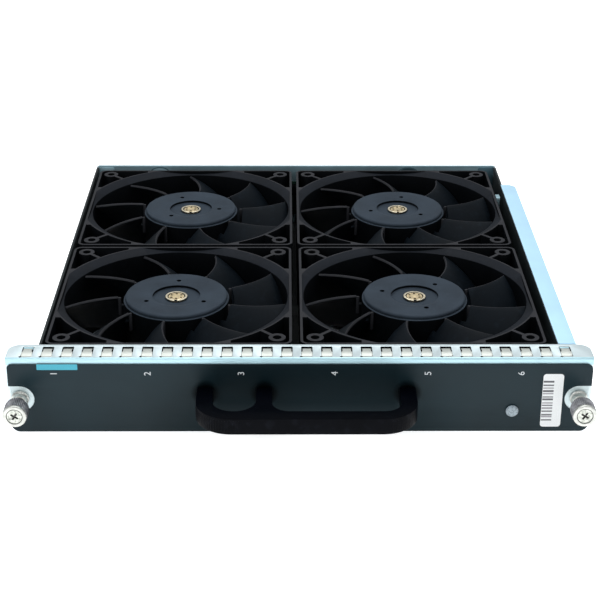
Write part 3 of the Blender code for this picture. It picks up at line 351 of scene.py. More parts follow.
class StageSizes(bpy.types.PropertyGroup):
    """Camera and studio light."""

    camera: place("Camera", "Where the camera stands", (-0.00665, -0.65108, 0.36770))
    pitch: angle("Pitch", "How far the camera looks down", 25.078)
    yaw: angle("Yaw", "How far the camera looks to the right", 0.587)
    roll: angle("Roll", "How far the camera leans", -0.229)
    lens: bpy.props.FloatProperty(name="Lens", description="Focal length", default=90.68, unit="CAMERA")
    floor: length("Floor", "Side of the studio floor", 60.0)
    sky: share("Sky", "Strength of the even light from all round", 0.46)


GROUPS = {
    "tray_colours": TrayColours,
    "sheet_sizes": SheetSizes,
    "finger_sizes": FingerSizes,
    "face_sizes": FaceSizes,
    "handle_sizes": HandleSizes,
    "screw_sizes": ScrewSizes,
    "fan_sizes": FanSizes,
    "impeller_sizes": ImpellerSizes,
    "stage_sizes": StageSizes,
}


# Modelling by hand


def let_go():
    """Leave edit mode and deselect everything."""
    if bpy.context.mode != "OBJECT":
        bpy.ops.object.mode_set(mode="OBJECT")
    bpy.ops.object.select_all(action="DESELECT")


def take(piece):
    """Make one piece the only one selected, and the active one."""
    let_go()
    piece.select_set(True)
    bpy.context.view_layer.objects.active = piece
    return piece


def settle(name, size=(1, 1, 1)):
    """Name the primitive that was just added and put its size and place into its mesh."""
    piece = bpy.context.object
    piece.name = name
    piece.data.name = name
    piece.scale = size
    bpy.ops.object.transform_apply(location=True, rotation=True, scale=True)
    return piece


def block(name, low, high):
    """A box between two corners."""
    let_go()
    low, high = Vector(low), Vector(high)
    bpy.ops.mesh.primitive_cube_add(size=1, location=(low + high) / 2)
    return settle(name, high - low)


def drum(name, radius, low, high, facets=48, axis="Z", centre=(0, 0), top_radius=None):
    """A round bar or cone between two levels on an axis."""
    let_go()
    upright = axis == "Z"
    middle = (low + high) / 2
    bpy.ops.mesh.primitive_cone_add(
        vertices=facets, radius1=radius, radius2=radius if top_radius is None else top_radius,
        depth=high - low,
        location=(centre[0], centre[1], middle) if upright else (centre[0], middle, centre[1]),
        rotation=(0, 0, 0) if upright else (-QUARTER_TURN, 0, 0))
    return settle(name)


def turned(name, profile, facets=64, axis="Z", centre=(0, 0, 0)):
    """Turn a profile of (radius, level) points round an axis, as on a lathe."""
    let_go()
    bpy.ops.mesh.primitive_plane_add(size=0.001)
    piece = settle(name)
    bpy.context.tool_settings.mesh_select_mode = (True, False, False)
    bpy.ops.object.mode_set(mode="EDIT")
    bpy.ops.mesh.select_all(action="SELECT")
    bpy.ops.mesh.merge(type="CENTER")
    bpy.ops.transform.translate(value=(profile[0][0], 0, profile[0][1]))
    for before, after in zip(profile, profile[1:]):
        step = (after[0] - before[0], 0, after[1] - before[1])
        bpy.ops.mesh.extrude_vertices_move(TRANSFORM_OT_translate={"value": step})
    bpy.ops.mesh.select_all(action="SELECT")
    bpy.ops.mesh.spin(steps=facets, angle=ROUND_TURN, center=(0, 0, 0), axis=(0, 0, 1))
    face_out()
    take(piece)
    if axis == "Y":
        piece.rotation_euler = (-QUARTER_TURN, 0, 0)
    piece.location = centre
    bpy.ops.object.transform_apply(location=True, rotation=True, scale=True)
    return piece


def rounded(centre, radius, start, end, steps=6):
    """Points along an arc, with angles in degrees."""
    turns = [math.radians(start + (end - start) * step / steps) for step in range(steps + 1)]
    return [(centre[0] + radius * math.cos(turn), centre[1] + radius * math.sin(turn)) for turn in turns]


def thread(radius, depth, start, pitch, turns):
    """The teeth of a screw thread, as points of a profile."""
    points = []
    for step in range(turns):
        level = start + step * pitch
        points += [(radius - depth, level), (radius, level + pitch / 2)]
    return points


def ring_places(count, radius, first=0.0):
    """Evenly spaced places on a circle round the origin."""
    turns = [first + ROUND_TURN * step / count for step in range(count)]
    return [(radius * math.cos(turn), radius * math.sin(turn)) for turn in turns]


def from_axis(point):
    """Distance from the upright axis through the origin."""
    return math.hypot(point.x, point.y)


def pick(piece, kind, wanted):
    """Open a piece in edit mode with only the wanted corners, edges or faces selected.

    A corner is judged by its place, an edge by its middle and direction, a face by its middle and normal.
    """
    take(piece)
    mesh = piece.data
    for group in (mesh.vertices, mesh.edges, mesh.polygons):
        group.foreach_set("select", [False] * len(group))
    if kind == "VERT":
        for corner in mesh.vertices:
            corner.select = wanted(corner.co)
    elif kind == "EDGE":
        for edge in mesh.edges:
            start, end = (mesh.vertices[index].co for index in edge.vertices)
            edge.select = wanted((start + end) / 2, (end - start).normalized())
    else:
        for face in mesh.polygons:
            face.select = wanted(face.center, face.normal)
    bpy.context.tool_settings.mesh_select_mode = (kind == "VERT", kind == "EDGE", kind == "FACE")
    bpy.ops.object.mode_set(mode="EDIT")


def round_edges(piece, radius, segments, wanted):
    """Round the wanted edges in edit mode."""
    pick(piece, "EDGE", wanted)
    bpy.ops.mesh.bevel(offset=radius, segments=segments, affect="EDGES")
    let_go()


def edges(axis, **at):
    """A test for edges along an axis whose middles have the given coordinates."""
    return lambda middle, along: (abs(getattr(along, axis)) > STRAIGHT and all(
        abs(getattr(middle, letter) - value) < HAIR for letter, value in at.items()))


def facing(axis):
    """A test for faces that look along an axis."""
    return lambda middle, normal: getattr(normal, axis) > 0.9


def every(middle, normal):
    """A test that all faces pass."""
    return True


def face_out(merge=True):
    """In edit mode, turn a closed shape's faces outwards, after its doubled corners are merged."""
    bpy.ops.mesh.select_all(action="SELECT")
    if merge:
        bpy.ops.mesh.remove_doubles(threshold=HAIR / 10)
    bpy.ops.mesh.normals_make_consistent(inside=False)
    let_go()


def resize_side(piece, axis, scale):
    """Scale the side of a piece that looks along an axis."""
    pick(piece, "FACE", facing(axis))
    bpy.ops.transform.resize(value=scale)
    let_go()


def press(axis, way):
    """In edit mode, draw the picked faces along an axis."""
    move = [way if letter == axis else 0 for letter in "xyz"]
    bpy.ops.mesh.extrude_region_move(TRANSFORM_OT_translate={"value": move})
    let_go()


def hollow(piece, axis, wall, depth):
    """Press in the side of a block that looks along an axis, with a wall left round it."""
    pick(piece, "FACE", facing(axis))
    bpy.ops.mesh.inset(thickness=wall)
    press(axis, -depth)


def modified(piece, kind, **settings):
    """Add a modifier with its settings and apply it."""
    take(piece)
    change = piece.modifiers.new(kind.title(), kind)
    for key, value in settings.items():
        setattr(change, key, value)
    bpy.ops.object.modifier_apply(modifier=change.name)
    return piece


def soften(piece, width, segments=2, degrees=35):
    """Round all of a piece's sharp edges."""
    return modified(piece, "BEVEL", width=width, segments=segments, limit_method="ANGLE",
                    angle_limit=math.radians(degrees), use_clamp_overlap=True, miter_outer="MITER_ARC")


def discard(*pieces):
    """Remove shapes that are used up."""
    for piece in pieces:
        bpy.data.objects.remove(piece, do_unlink=True)


def carve(piece, *cutters, operation="DIFFERENCE"):
    """Cut shapes out of a piece, or join them into it, and remove them."""
    for cutter in cutters:
        modified(piece, "BOOLEAN", object=cutter, operation=operation, solver="EXACT")
        discard(cutter)
    return piece


def shifted(piece, *matrices):
    """Turn and move a mesh by matrices, one after another."""
    for matrix in matrices:
        piece.data.transform(matrix)
    return piece


def copied(piece, name, move=(0, 0, 0), turn=0.0, axis="Z"):
    """A copy with its own mesh, turned about the origin and then moved."""
    take(piece)
    bpy.ops.object.duplicate(linked=False)
    copy = bpy.context.object
    copy.rotation_euler["XYZ".index(axis)] = turn
    copy.location = move
    copy.name = name
    copy.data.name = name
    bpy.ops.object.transform_apply(location=True, rotation=True, scale=True)
    return copy


def joined(name, *pieces):
    """Several shapes as one piece."""
    let_go()
    for piece in pieces:
        piece.select_set(True)
    bpy.context.view_layer.objects.active = pieces[0]
    bpy.ops.object.join()
    return settle(name)


def repeated(piece, count, step):
    """A row of copies in one piece."""
    return modified(piece, "ARRAY", count=count, use_relative_offset=False, use_constant_offset=True,
                    constant_offset_displace=step)


def paint(piece, name):
    """Give every face of a piece one finish."""
    piece.data.materials.clear()
    piece.data.materials.append(finish(name))
    return piece


def repaint(piece, name, wanted):
    """Give the wanted faces of a painted piece another finish, judged by their middle and normal."""
    piece.data.materials.append(finish(name))
    last = len(piece.data.materials) - 1
    for face in piece.data.polygons:
        if wanted(face.center, face.normal):
            face.material_index = last
    return piece


def fit(piece, body, slot, *nodes, degrees=32):
    """Shade a finished piece and put it on its body, in place of the CAD nodes that it stands for."""
    take(piece)
    bpy.ops.object.shade_smooth_by_angle(angle=math.radians(degrees))
    let_go()
    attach(piece, body)
    if nodes:
        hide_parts(*nodes)
    return piece


# Materials


def operation(name, swapped=False):
    """An operator on two values that adds a Math node."""
    return lambda self, other: self.worked(name, *((other, self) if swapped else (self, other)))


class Reading:
    """A value in a material. Arithmetic on it adds Math nodes."""

    __add__, __radd__ = operation("ADD"), operation("ADD", True)
    __sub__, __rsub__ = operation("SUBTRACT"), operation("SUBTRACT", True)
    __mul__, __rmul__ = operation("MULTIPLY"), operation("MULTIPLY", True)
    __gt__ = operation("GREATER_THAN")

    def __init__(self, surface, socket):
        self.surface = surface
        self.socket = socket

    def worked(self, name, first, second=0.0):
        """One Math node on one or two values."""
        return self.surface.node("ShaderNodeMath", {"operation": name}, {0: first, 1: second})

    def __abs__(self):
        return self.worked("ABSOLUTE", self)

    def fraction(self):
        """What follows the point."""
        return self.worked("FRACT", self)

    def greater_of(self, other):
        """The greater of two values."""
        return self.worked("MAXIMUM", self, other)


class Surface:
    """A Principled material: what is even sits on the shader, and what varies comes from nodes."""

    def __init__(self, name, tint, roughness, metallic=0.0, **steady):
        self.material = bpy.data.materials.new(name)
        self.material.use_nodes = True
        self.material.diffuse_color = (*tint, 1.0)
        self.tree = self.material.node_tree
        self.shader = self.tree.nodes["Principled BSDF"]
        self.tint = tuple(tint)
        self.shader.inputs["Base Color"].default_value = (*tint, 1.0)
        self.shader.inputs["Roughness"].default_value = roughness
        self.shader.inputs["Metallic"].default_value = metallic
        for socket, value in steady.items():
            self.shader.inputs[socket.replace("_", " ")].default_value = value

    def node(self, kind, settings=None, inputs=None, output=0):
        """Add a node: its settings first, then the values or links of its sockets."""
        made = self.tree.nodes.new(kind)
        for key, value in (settings or {}).items():
            setattr(made, key, value)
        for key, value in (inputs or {}).items():
            self.feed(made.inputs[key], value)
        return Reading(self, made.outputs[output])

    def feed(self, socket, value):
        """Give a socket a value, or link a reading to it."""
        if isinstance(value, Reading):
            self.tree.links.new(value.socket, socket)
        else:
            socket.default_value = value

    def place(self, stretch=None):
        """Object coordinates, stretched along the axes or as they are."""
        here = self.node("ShaderNodeTexCoord", output=3)
        if stretch is None:
            return here
        return self.node("ShaderNodeVectorMath", {"operation": "MULTIPLY"}, {0: here, 1: stretch})

    def axis(self, letter):
        """One object coordinate, in metres."""
        return self.node("ShaderNodeSeparateXYZ", None, {0: self.place()}, "XYZ".index(letter))

    def noise(self, scale, detail=3.0, roughness=0.55, stretch=None):
        """Soft irregular variation about 0.5."""
        return self.node("ShaderNodeTexNoise", None, {"Vector": self.place(stretch), "Scale": scale,
                                                      "Detail": detail, "Roughness": roughness})

    def cells(self, scale):
        """Distance from the nearest of many scattered points."""
        return self.node("ShaderNodeTexVoronoi", None, {"Vector": self.place(), "Scale": scale})

    def spread(self, reading, low, high, out_low=0.0, out_high=1.0):
        """Stretch a range of a reading over another, and hold it there."""
        return self.node("ShaderNodeMapRange", {"clamp": True},
                         {"Value": reading, "From Min": low, "From Max": high,
                          "To Min": out_low, "To Max": out_high})

    def blend(self, factor, first, second):
        """Mix two colours."""
        inputs = {0: factor}
        for index, tone in ((6, first), (7, second)):
            inputs[index] = tone if isinstance(tone, Reading) else (*tone, 1.0)
        return self.node("ShaderNodeMix", {"data_type": "RGBA"}, inputs, 2)

    def shade(self, amount):
        """The surface's own colour, darker or lighter by an amount."""
        return tuple(max(0.0, min(1.0, value * amount)) for value in self.tint)

    def clouded(self, reading, low, high, darkest, palest):
        """The surface's own colour, from darker to paler as a reading goes from low to high."""
        return self.blend(self.spread(reading, low, high), self.shade(darkest), self.shade(palest))

    def drive(self, **readings):
        """Link readings to the shader's sockets."""
        for socket, reading in readings.items():
            self.feed(self.shader.inputs[socket.replace("_", " ")], reading)

    def bump(self, height, strength, depth):
        """Raise the surface by a reading."""
        self.drive(Normal=self.node("ShaderNodeBump", None, {"Height": height, "Strength": strength,
                                                             "Distance": depth}))


def plated_sheet(name, tint, darkest=0.86, shine=0.6, roughness=0.40):
    """Zinc plate: faint clouds of spangle, fine rolling marks and a few duller patches."""
    surface = Surface(name, tint, roughness, metallic=shine)
    clouds = surface.noise(38.0, 4.0)
    rolling = surface.noise(900.0, 2.0, stretch=(1.0, 0.05, 1.0))
    dullness = surface.spread(clouds, 0.3, 0.75, roughness - 0.05, roughness + 0.08)
    surface.drive(Base_Color=surface.clouded(clouds, 0.3, 0.7, darkest, 1.05),
                  Roughness=dullness + rolling * 0.06)
    surface.bump(rolling + surface.noise(260.0) * 0.6, 0.08, 0.00004)
    return surface.material


def painted_slate(name, tint):
    """Fine-textured paint with a satin skin, with painted shadow of the pull: darker and with a thinner satin
    coat behind and beside it and round the tops of its posts, and painted paler towards the top as light.
    """
    surface = Surface(name, tint, 0.5, Specular_IOR_Level=0.03, Coat_Roughness=0.38)
    grain = surface.noise(2600.0, 2.0)
    clouds = surface.noise(22.0, 3.0)
    height = surface.axis("Z")
    # Random clouds of tone, plus painted light that makes the face paler towards the top
    paleness = surface.spread(clouds, 0.3, 0.7) * 0.6 + surface.spread(height, 0.0, 0.035, 0.0, 0.4)
    unshadowed = surface.blend(paleness, surface.shade(0.62), surface.shade(1.18))
    # Painted shadow of the pull, full behind it and fading out beside it
    aside = abs(surface.axis("X") - (HANDLE_LOW.x + HANDLE_HIGH.x) / 2)
    reach = (HANDLE_HIGH.x - HANDLE_LOW.x) / 2
    behind = (surface.spread(aside, reach - 0.010, reach + 0.006, 1.0, 0.0)
              * surface.spread(height, 0.004, 0.016))
    beside = (surface.spread(aside, reach, reach + 0.028, 0.55, 0.0)
              * surface.spread(height, 0.010, 0.038, 1.0, 0.1))
    pull_shadow = behind.greater_of(beside)
    pull = bpy.context.scene.handle_sizes
    # Painted shadow round the tops of the pull's three posts
    post_shadow = 0.0
    for middle in (HANDLE_LOW.x + pull.post / 2, pull.middle_post, HANDLE_HIGH.x - pull.post / 2):
        across = surface.axis("X") - middle
        above = height - (HANDLE_HIGH.z - 0.0032)
        post_shadow = post_shadow + surface.spread(across * across + above * above, 0.000010, 0.000052, 1.0, 0.0)
    # The painted shadows darken the colour and thin the satin coat, as a painted loss of its reflection
    shadowed = surface.blend(pull_shadow * 0.75, unshadowed, surface.shade(0.35))
    surface.drive(Base_Color=surface.blend(post_shadow, shadowed, surface.shade(0.04)),
                  Coat_Weight=(0.36 - pull_shadow * 0.31) * (1.0 - post_shadow),
                  Roughness=surface.spread(clouds, 0.25, 0.75, 0.44, 0.56))
    surface.bump(grain, 0.16, 0.00005)
    return surface.material


def moulded(name, tint, roughness, texture, grain_scale=1400.0, worn=1.5, gloss=0.16):
    """Moulded plastic with flow marks, a fine grain and paler rubbed spots."""
    surface = Surface(name, tint, roughness, Specular_IOR_Level=gloss)
    grain = surface.noise(grain_scale, 2.0)
    flow = surface.noise(60.0, 5.0, 0.6)
    rubbed = surface.spread(surface.noise(210.0, 4.0), 0.56, 0.72)
    base = surface.clouded(flow, 0.3, 0.7, 0.8, 1.25)
    dullness = surface.spread(flow, 0.3, 0.7, roughness - 0.05, roughness + 0.08)
    surface.drive(Base_Color=surface.blend(rubbed * 0.5, base, surface.shade(worn)),
                  Roughness=dullness + grain * 0.05)
    surface.bump(grain + flow * 0.3, texture, 0.00006)
    return surface.material


def turned_metal(name, tint, roughness, darkest=0.72, blotches=420.0):
    """Machined metal with fine tool rings and darker tarnish."""
    surface = Surface(name, tint, roughness, metallic=1.0)
    tarnish = surface.noise(blotches, 4.0)
    surface.drive(Base_Color=surface.clouded(tarnish, 0.32, 0.7, darkest, 1.0),
                  Roughness=surface.spread(tarnish, 0.3, 0.7, roughness - 0.06, roughness + 0.12))
    surface.bump(surface.noise(3000.0, 1.0), 0.1, 0.00003)
    return surface.material


def bonded_magnet(name, tint):
    """Dark bonded magnet with a granular skin."""
    surface = Surface(name, tint, 0.55, metallic=0.3)
    grains = surface.cells(2400.0)
    surface.drive(Base_Color=surface.clouded(grains, 0.1, 0.7, 0.7, 1.6))
    surface.bump(grains, 0.25, 0.00005)
    return surface.material


def stacked_steel(name, tint):
    """A stack of thin steel laminations."""
    surface = Surface(name, tint, 0.45, metallic=1.0)
    layers = (surface.axis("Z") * 2000.0).fraction()
    surface.drive(Base_Color=surface.clouded(layers, 0.0, 0.25, 0.35, 1.0))
    surface.bump(surface.spread(layers, 0.0, 0.25), 0.5, 0.00005)
    return surface.material


def printed_board(name, tint):
    """Green solder mask with paler copper tracks under it."""
    surface = Surface(name, tint, 0.35, Coat_Weight=0.4, Coat_Roughness=0.2)
    rows = (surface.axis("Z") * 520.0).fraction()
    tracks = (rows > 0.62) * (surface.noise(240.0, 1.0, stretch=(1.0, 1.0, 3.0)) > 0.5)
    surface.drive(Base_Color=surface.blend(tracks, surface.tint, surface.shade(2.0)))
    surface.bump(tracks, 0.3, 0.00004)
    return surface.material


def light_guide(name, tint):
    """Grey moulded light guide with a mottled, faceted look."""
    surface = Surface(name, tint, 0.28, Coat_Weight=0.5, Coat_Roughness=0.1)
    facets = surface.cells(1500.0)
    surface.drive(Base_Color=surface.clouded(facets, 0.1, 0.6, 0.55, 1.7))
    surface.bump(facets, 0.35, 0.0002)
    return surface.material


def printed_film(name, tint):
    """Ink or label stock with a faint paper grain."""
    surface = Surface(name, tint, 0.45)
    fibre = surface.noise(1800.0, 3.0)
    surface.drive(Base_Color=surface.clouded(fibre, 0.3, 0.7, 0.93, 1.04))
    surface.bump(fibre, 0.05, 0.00002)
    return surface.material


def studio_floor(name, tint):
    """Smooth pale paper that glows a little as on a light table, with a painted shadow where the tray stands:
    no glow under its footprint.
    """
    white, dark = (1.0, 1.0, 1.0), (0.0, 0.0, 0.0)
    surface = Surface(name, tint, 0.9, Specular_IOR_Level=0.0, Emission_Color=(*white, 1.0),
                      Emission_Strength=0.7)
    # Painted shadow: the tray's footprint, where the floor's glow is turned off
    under = (surface.spread(abs(surface.axis("X")), 0.112, 0.122, 1.0, 0.0)
             * surface.spread(abs(surface.axis("Y") - 0.118), 0.112, 0.122, 1.0, 0.0))
    surface.drive(Base_Color=surface.blend(surface.noise(3.0), surface.shade(0.985), surface.shade(1.0)),
                  Emission_Color=surface.blend(under, white, dark))
    return surface.material


fan_plastic = partial(moulded, roughness=0.50, texture=0.14, worn=2.2, gloss=0.07)

FINISHES = {
    "zinc": plated_sheet,
    "fold_zinc": plated_sheet,
    "pan_zinc": plated_sheet,
    "tab_zinc": plated_sheet,
    "inner_zinc": partial(plated_sheet, darkest=0.7, shine=0.3, roughness=0.5),
    "wall_zinc": partial(plated_sheet, darkest=0.6, shine=0.1, roughness=0.6),
    "floor_zinc": partial(plated_sheet, darkest=0.7, shine=0.2, roughness=0.6),
    "guide_blue": partial(plated_sheet, darkest=0.94, shine=0.15, roughness=0.55),
    "spring_steel": partial(plated_sheet, darkest=0.92, shine=0.5),
    "raw_edge": partial(moulded, roughness=0.7, texture=0.1, gloss=0.05),
    "slate": painted_slate,
    "gloss_black": partial(moulded, roughness=0.34, texture=0.05, grain_scale=900.0, gloss=0.02),
    "grip_black": partial(moulded, roughness=0.36, texture=0.06, grain_scale=900.0, worn=3.0, gloss=0.03),
    "fan_black": fan_plastic,
    "blade_black": fan_plastic,
    "duct_black": partial(moulded, roughness=0.50, texture=0.12, gloss=0.08),
    "fan_edge": partial(moulded, roughness=0.50, texture=0.10, gloss=0.12),
    "hub_slate": partial(moulded, roughness=0.55, texture=0.10, worn=1.2, gloss=0.08),
    "port_teal": partial(moulded, roughness=0.5, texture=0.08),
    "brass": partial(turned_metal, roughness=0.32, darkest=0.85),
    "warm_brass": partial(turned_metal, roughness=0.36, darkest=0.8),
    "nickel": partial(turned_metal, roughness=0.34, darkest=0.66),
    "knob_face": partial(turned_metal, roughness=0.42, darkest=0.30, blotches=900.0),
    "cut_line": partial(turned_metal, roughness=0.5, darkest=0.5),
    "dark_nickel": partial(turned_metal, roughness=0.42, darkest=0.6),
    "steel": partial(turned_metal, roughness=0.34),
    "magnet": bonded_magnet,
    "lamination": stacked_steel,
    "board_green": printed_board,
    "lens_grey": light_guide,
    "label_cyan": printed_film,
    "label_white": printed_film,
    "ink": printed_film,
    "pale_ink": printed_film,
    "number_grey": printed_film,
    "floor": studio_floor,
}


def finish(name):
    """One of the tray's materials, made when it is first asked for."""
    made = bpy.data.materials.get(f"tray_{name}")
    if made is None:
        made = FINISHES[name](f"tray_{name}", getattr(bpy.context.scene.tray_colours, name))
    return made


# Sheet pieces


def rear_hole_places(sizes):
    """The middles of the two round holes in the rear wall, as (x, z)."""
    level = PAN_HIGH.z - sizes.rear_hole_margin - sizes.rear_hole
    return {side: (middle_of("rear_connector").x + sign * sizes.rear_hole_spacing / 2, level)
            for side, sign in SIDES.items()}


def model_tray_pan(sizes, fan):
    """The folded pan: a block hollowed from above, with round folds, air holes and rear holes."""
    sheet, gap = sizes.sheet, sizes.clearance
    half, front, rear, top = TRAY_HALF, PAN_LOW.y, PAN_HIGH.y, PAN_HIGH.z
    inner = FLOOR_LEVEL + sheet
    pan = block("tray_pan_skin", PAN_LOW, (half, rear, top))
    hollow(pan, "z", sheet, top - PAN_LOW.z - sheet)
    round_edges(pan, sizes.pan_fold, 5, lambda middle, along: abs(along.z) < 0.1
                and middle.z < FLOOR_LEVEL + HAIR and middle.y > front + HAIR)
    round_edges(pan, sizes.pan_fold - sheet, 3, lambda middle, along: abs(along.z) < 0.1
                and abs(middle.z - inner) < HAIR)
    cutters = [block("mouth", (-half - PAST, front - PAST, STRIP_LOW.z - gap - sheet),
                     (half + PAST, 0.0, top + PAST)),
               block("lip", (-half + sheet, front - PAST, FLOOR_LEVEL + sizes.lip),
                     (half - sheet, PANEL_HIGH.y - sheet * 2, top + PAST))]
    slope = (sizes.sink - sizes.sink_end) / sheet * PAST
    spacing = FAN_HALF - fan.hole_inset
    for where in map(fan_place, ROTOR_TURNS):
        cutters.append(drum("exhaust", sizes.exhaust, FLOOR_LEVEL - PAST, inner + PAST, 96, centre=where[:2]))
        for across, along in CORNERS:
            cutters.append(drum("sink", sizes.sink + slope, FLOOR_LEVEL - PAST, inner + PAST, 24,
                                centre=(where.x + across * spacing, where.y + along * spacing),
                                top_radius=sizes.sink_end - slope))
    for side, place in rear_hole_places(sizes).items():
        cutters.append(drum("rear_hole", sizes.rear_hole, rear - sheet - PAST, rear + PAST, 48, "Y", place))
        corner = SIDES[side] * (half - 0.0009)
        cutters.append(block("bend_relief", (corner - 0.0009, rear - 0.0032, top - 0.006),
                             (corner + 0.0011, rear - 0.0026, top + PAST)))
    cutters.append(block("connector_window", (PLUG_LOW.x - gap, rear - sheet - PAST, PLUG_LOW.z - gap),
                         (PLUG_HIGH.x + gap, rear + PAST, PLUG_HIGH.z + gap)))
    carve(pan, *cutters)
    soften(pan, sizes.edge, 2, 50)
    paint(pan, "pan_zinc")
    wall, back = half - sheet - HAIR, rear - sheet + HAIR
    # Painted shade: the inner faces of the pan take the darker shaded inner zinc
    repaint(pan, "inner_zinc", lambda middle, normal: abs(middle.x) < wall and normal.z < 0.5
            and front + sheet < middle.y < back and middle.z > inner + HAIR)
    # Painted shade: the side walls' inner faces and tops are painted nearly black
    repaint(pan, "wall_zinc", lambda middle, normal: abs(middle.x) > wall and middle.z > inner
            and middle.y < back - sheet and (normal.z > 0.5 or normal.x * middle.x < 0))
    # Painted shade: the floor's upper faces are painted nearly black
    return repaint(pan, "floor_zinc", lambda middle, normal: normal.z > 0.5 and middle.z < inner + 0.0004)


def model_corner_tabs(sizes):
    """The riveted tabs of the side walls behind the rear wall, its hem, and a clip on the right wall."""
    parts = []
    back = PAN_HIGH.y - sizes.sheet - BARE
    face = back - sizes.sheet * 0.6
    for side in SIDES.values():
        inward = side * (TRAY_HALF - sizes.tab)
        near, far = sorted((side * (TRAY_HALF - sizes.sheet - BARE), inward))
        tab = block("tab", (near, face, FLOOR_LEVEL + sizes.sheet + 0.0002), (far, back, PAN_HIGH.z - 0.0004))
        round_edges(tab, 0.0015, 4, edges("y", x=inward, z=PAN_HIGH.z - 0.0004))
        soften(tab, 0.00012)
        # Painted shade: the left tab takes the shaded inner zinc, the right tab a darker shaded zinc still
        parts.append(paint(tab, "inner_zinc" if side < 0 else "tab_zinc"))
        for level in (0.010, 0.028):
            head = [(0, 0), (0.0018, 0)] + rounded((0.0, -0.0018), 0.0026, 45, 90, 5)
            rivet = shifted(turned("rivet", head, 24), Matrix.Rotation(QUARTER_TURN, 4, "X"),
                            Matrix.Translation(((near + far) / 2, face, level)))
            parts.append(paint(rivet, "nickel"))
    hem = block("hem", (-TRAY_HALF + 0.0008, PAN_HIGH.y - sizes.sheet - 0.0001, PAN_HIGH.z - 0.0006),
                (TRAY_HALF - 0.0008, PAN_HIGH.y, PAN_HIGH.z + 0.0005))
    soften(hem, 0.0002, 3)
    clip = block("clip", (0.1198, 0.1975, 0.0320), (0.1222, 0.2035, 0.0385))
    round_edges(clip, 0.0009, 3, edges("x", z=0.0385))
    soften(clip, 0.00015)
    # The hem and clip take the shaded inner zinc
    return joined("corner_tabs", *parts, paint(hem, "inner_zinc"), paint(clip, "inner_zinc"))


def model_dark_port_cup(side, sizes):
    """A shallow dark cup that closes a rear port on the inside of the wall, standing in for the shade seen
    through the port; the left one's plate takes the wall's shaded zinc.
    """
    wall = PAN_HIGH.y - sizes.sheet
    across, level = rear_hole_places(sizes)[side]
    inner = sizes.rear_hole - 0.0007
    outer, step = sizes.liner, wall - 0.0006
    profile = [(0, wall - 0.0010), (outer - 0.0006, wall - 0.0010), (outer, step), (outer, wall - 0.0003),
               (inner, wall - 0.0003), (inner, step), (0, step)]
    liner = turned(f"port_liner_{side}", profile, 56, "Y", (across, 0, level))
    carve(liner, block("trim", (-0.2, wall - 0.01, PAN_HIGH.z - 0.0002),
                       (0.2, wall + 0.01, PAN_HIGH.z + 0.02)))
    # Painted shade: the cup is near-black teal
    paint(liner, "port_teal")
    if side == "left":
        # The left cup's middle plate takes the shaded inner zinc of the wall round it
        repaint(liner, "inner_zinc", lambda middle, normal: abs(normal.y) > 0.9
                and math.hypot(middle.x - across, middle.z - level) < inner - 0.0012)
    return liner


def model_guide_flange(sizes):
    """The flange folded out along the top of the right wall, with a cut rear corner."""
    flange = block("guide_flange_skin", (TRAY_HALF - sizes.sheet * 0.7, 0.0004, PAN_HIGH.z - sizes.sheet),
                   (PAN_HIGH.x, sizes.guide_end, PAN_HIGH.z + 0.00004))
    round_edges(flange, sizes.guide_chamfer, 1, edges("z", x=PAN_HIGH.x, y=sizes.guide_end))
    return soften(flange, 0.00015, 3)


def finger_middles(sizes):
    """The X of each spring finger."""
    first = (STRIP_LOW.x + STRIP_HIGH.x) / 2 - sizes.pitch * (sizes.count - 1) / 2
    return [first + sizes.pitch * step for step in range(sizes.count)]


